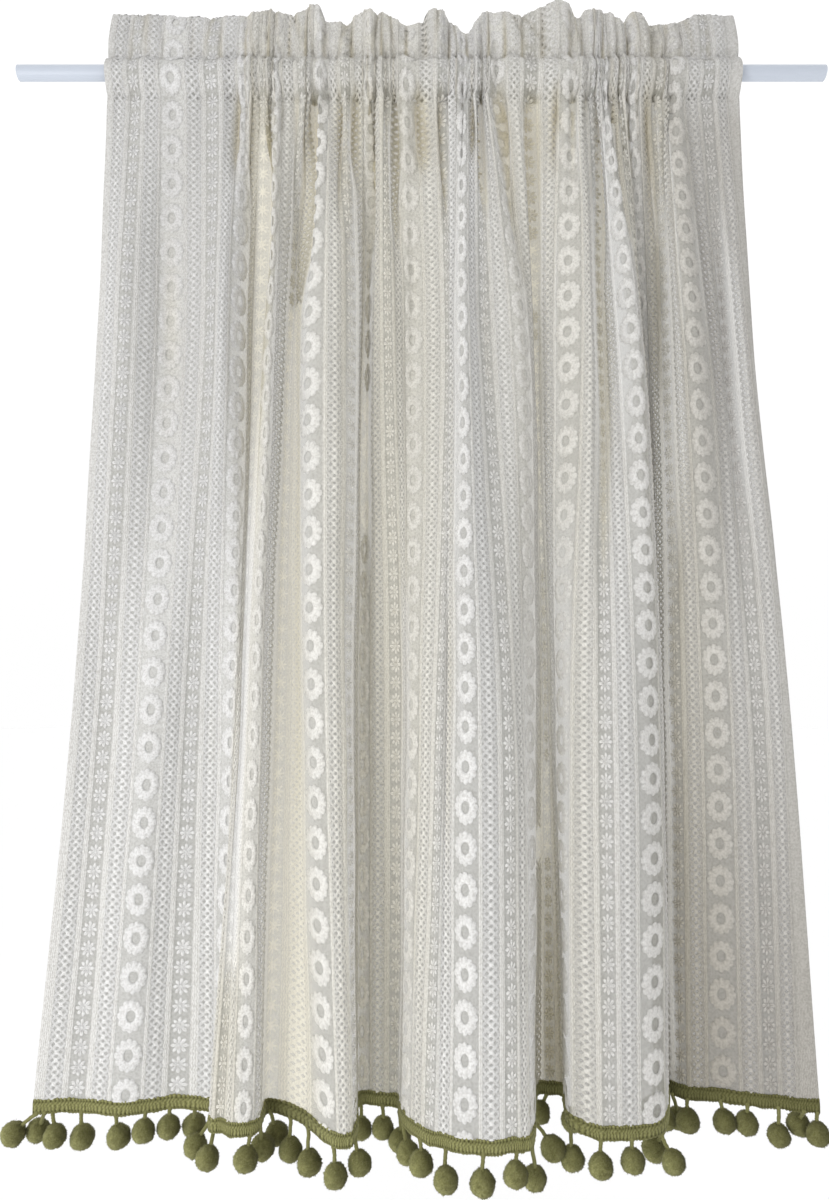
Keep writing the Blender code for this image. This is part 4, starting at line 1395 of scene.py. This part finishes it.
def ground_material():
    """The sheet: fine net between solid motifs, open enough to see light through. Its holes' colour is
    painted shade, and so is part of its net's grey.
    """
    look = Look("lace_ground", roughness=0.92, sheen=0.12, sheen_roughness=0.6)
    flat, run, solid, hole, bars, stars, light = lace_pattern(look)
    faint = look.attribute("faint")
    mesh_across = (flat * (2 * math.pi / NET_MESH)).math("SINE")
    mesh_up = (run * (2 * math.pi / NET_MESH)).math("SINE")
    pin = (mesh_across * mesh_up).over(0.25, 0.5)
    cloudy = look.noise(60, 3)
    grain = look.noise(560, 3, 0.65)
    twist = (flat * (2 * math.pi / 1.75) + (run * (2 * math.pi / 5.0)).math("SINE")).math("SINE")
    thread = look.mix(bars, look.mix(cloudy, THREAD_SHADE, THREAD), BAR)
    # Where the pattern is faint the net and holes are paler and the threads dimmer; in the recesses that is
    # painted light and shade.
    light = light.either(faint * (stars * 0.65).flip())
    net = look.mix(light, look.mix(cloudy, NET_SHADE, NET), NET_LIGHT)
    net = look.mix(hole, net, look.mix(faint, HOLE_PAINTED_SHADE, HOLE_PAINTED_SHADE_PALE))
    base = look.mix(solid, net, thread)
    base = look.mix(look.attribute("crowd") * 0.7, base, CROWDED)
    base = look.tint(solid * faint, base, DIM)
    base = look.tint_by_light(base)
    base = look.tint(grain.under(0.47, 0.2) * 0.75 + twist.over(0.35, 0.6) * bars * 0.6, base, GRAIN)
    see = solid.flip() * (pin * NET_OPEN + hole * HOLE_OPEN) * (faint * 0.8).flip()
    see = see + look.attribute("glow") * GLOW_OPEN
    look.link(see.flip(), look.inputs["Alpha"])
    height = solid * 0.9 + pin.flip() * solid.flip() * 0.25 + grain * 0.5 - twist * bars * 0.2
    return look.paint(base, height, 0.5, 0.8)


def thread_material():
    """The raised motifs: soft spun cotton, with painted shade between its stitches."""
    look = Look("lace_thread", roughness=0.9, sheen=0.15)
    spun = look.noise(620, 3, 0.7)
    base = look.mix(look.noise(70, 3), THREAD_SHADE, THREAD)
    base = look.tint_by_light(look.tint(look.attribute("faint"), base, DIM))
    base = look.tint(spun.under(0.48, 0.2) * 0.8, base, GRAIN)
    return look.paint(look.tint_by_painted_shade(base, (0.0, 0.0, 0.0)), spun, 0.4, 0.8)


def yarn_material():
    """Olive yarn with paler fibres scattered in it, and painted shade between its loose ends and away from
    the light.
    """
    look = Look("trim_yarn", roughness=0.95, sheen=0.05)
    spun = look.noise(1100, 3, 0.7)
    patch = look.mix(look.noise(110, 3).over(0.5, 0.4), YARN_SHADE, YARN)
    base = look.mix(spun.over(0.52, 0.35), patch, YARN_TIP)
    return look.paint(look.tint_by_painted_shade(base, YARN_PAINTED_SHADE), spun, 0.5, 0.9)


def rod_material():
    """Pale blue-grey paint, a little uneven."""
    look = Look("rod_paint", gloss=0.5)
    grain = look.noise(1400, 2)
    look.link(grain * 0.12 + 0.3, look.inputs["Roughness"])
    return look.paint(look.mix(look.noise(18, 3), PAINT_SHADE, PAINT), grain, 0.05, 0.4)


# ---- Stage ----


def build_key():
    """A soft light at the left, a little under the middle of the cloth."""
    lamp = bpy.data.lights.new("key", "AREA")
    lamp.energy = KEY_POWER
    lamp.size = KEY_SIZE
    lamp.color = KEY_COLOUR
    thing = bpy.data.objects.new("key", lamp)
    thing.location = KEY_PLACE
    toward = Vector(KEY_TARGET) - Vector(KEY_PLACE)
    thing.rotation_euler = toward.to_track_quat("-Z", "Y").to_euler()
    bpy.context.scene.collection.objects.link(thing)


def build_camera():
    lens = bpy.data.cameras.new("camera")
    lens.sensor_fit = "VERTICAL"
    lens.sensor_height = CAMERA_SENSOR
    lens.lens = CAMERA_LENS
    lens.clip_start = 0.01
    thing = bpy.data.objects.new("camera", lens)
    thing.location = CAMERA_PLACE
    thing.rotation_euler = (math.radians(CAMERA_TILT), 0, 0)
    bpy.context.scene.collection.objects.link(thing)
    bpy.context.scene.camera = thing


def build_floor():
    """A wide pale floor well under the curtain."""
    look = Look("floor_pale")
    look.link(look.mix(look.noise(1.5, 2), FLOOR_SHADE, FLOOR_COLOUR), look.inputs["Base Color"])
    turns = 2 * math.pi * np.arange(FLOOR_SIDES) / FLOOR_SIDES
    across_floor, back = FLOOR_REACH * np.cos(turns), FLOOR_REACH * np.sin(turns)
    points = np.stack([across_floor + ROD_MIDDLE, back, np.full(FLOOR_SIDES, FLOOR_HEIGHT)], 1)
    floor = make_piece("floor", points, [np.arange(FLOOR_SIDES)[None]], look.material)


def build_light():
    """A white studio with a soft strip of light in front of the cloth."""
    world = bpy.data.worlds.new("studio")
    bpy.context.scene.world = world
    world.use_nodes = True
    tree = world.node_tree
    place = tree.nodes.new("ShaderNodeTexCoord")
    split = tree.nodes.new("ShaderNodeSeparateXYZ")
    tree.links.new(place.outputs["Generated"], split.inputs["Vector"])
    right, back = Wire(tree, split.outputs["X"]), Wire(tree, split.outputs["Y"])
    front = (back * -6.0).math("ADD", 0.0, clamp=True)
    strip = right.size().flip().math("POWER", 3.0) * STUDIO_STRIP + STUDIO_SIDES
    strip = strip * (right * STUDIO_RIGHT).flip()
    above = Wire(tree, split.outputs["Z"]).math("MAXIMUM", 0.0).math("POWER", 2.0)
    strength = front.flip() + front * strip + above * STUDIO_ABOVE
    sky = tree.nodes["Background"]
    sky.inputs["Color"].default_value = (1, 1, 1, 1)
    tree.links.new(strength.socket, sky.inputs["Strength"])


def main():
    chance = np.random.default_rng(SEED)
    build_camera()
    cloth = Surface()
    ground, thread = ground_material(), thread_material()
    panel = build_sheet(cloth, ground)
    motifs = [
        build_flowers(cloth, thread, chance),
        build_stars(cloth, thread, chance),
        build_lattice(cloth, thread),
    ]
    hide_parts("curtain_panel")
    for piece in [panel] + motifs:
        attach(piece, "root")
    yarn = yarn_material()
    tape = build_tape(cloth, yarn)
    cords = build_cords(yarn)
    pompoms = build_pompoms(cloth, yarn, chance)
    for piece in (tape, cords, pompoms):
        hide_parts("pompom_trim")
        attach(piece, "root")
    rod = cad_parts["rod"]
    rod.material_slots[0].link = "OBJECT"
    rod.material_slots[0].material = rod_material()
    CUT_LENGTH * MM
    build_floor()
    build_light()
    build_key()
    bpy.context.scene.view_settings.view_transform = "Standard"


main()
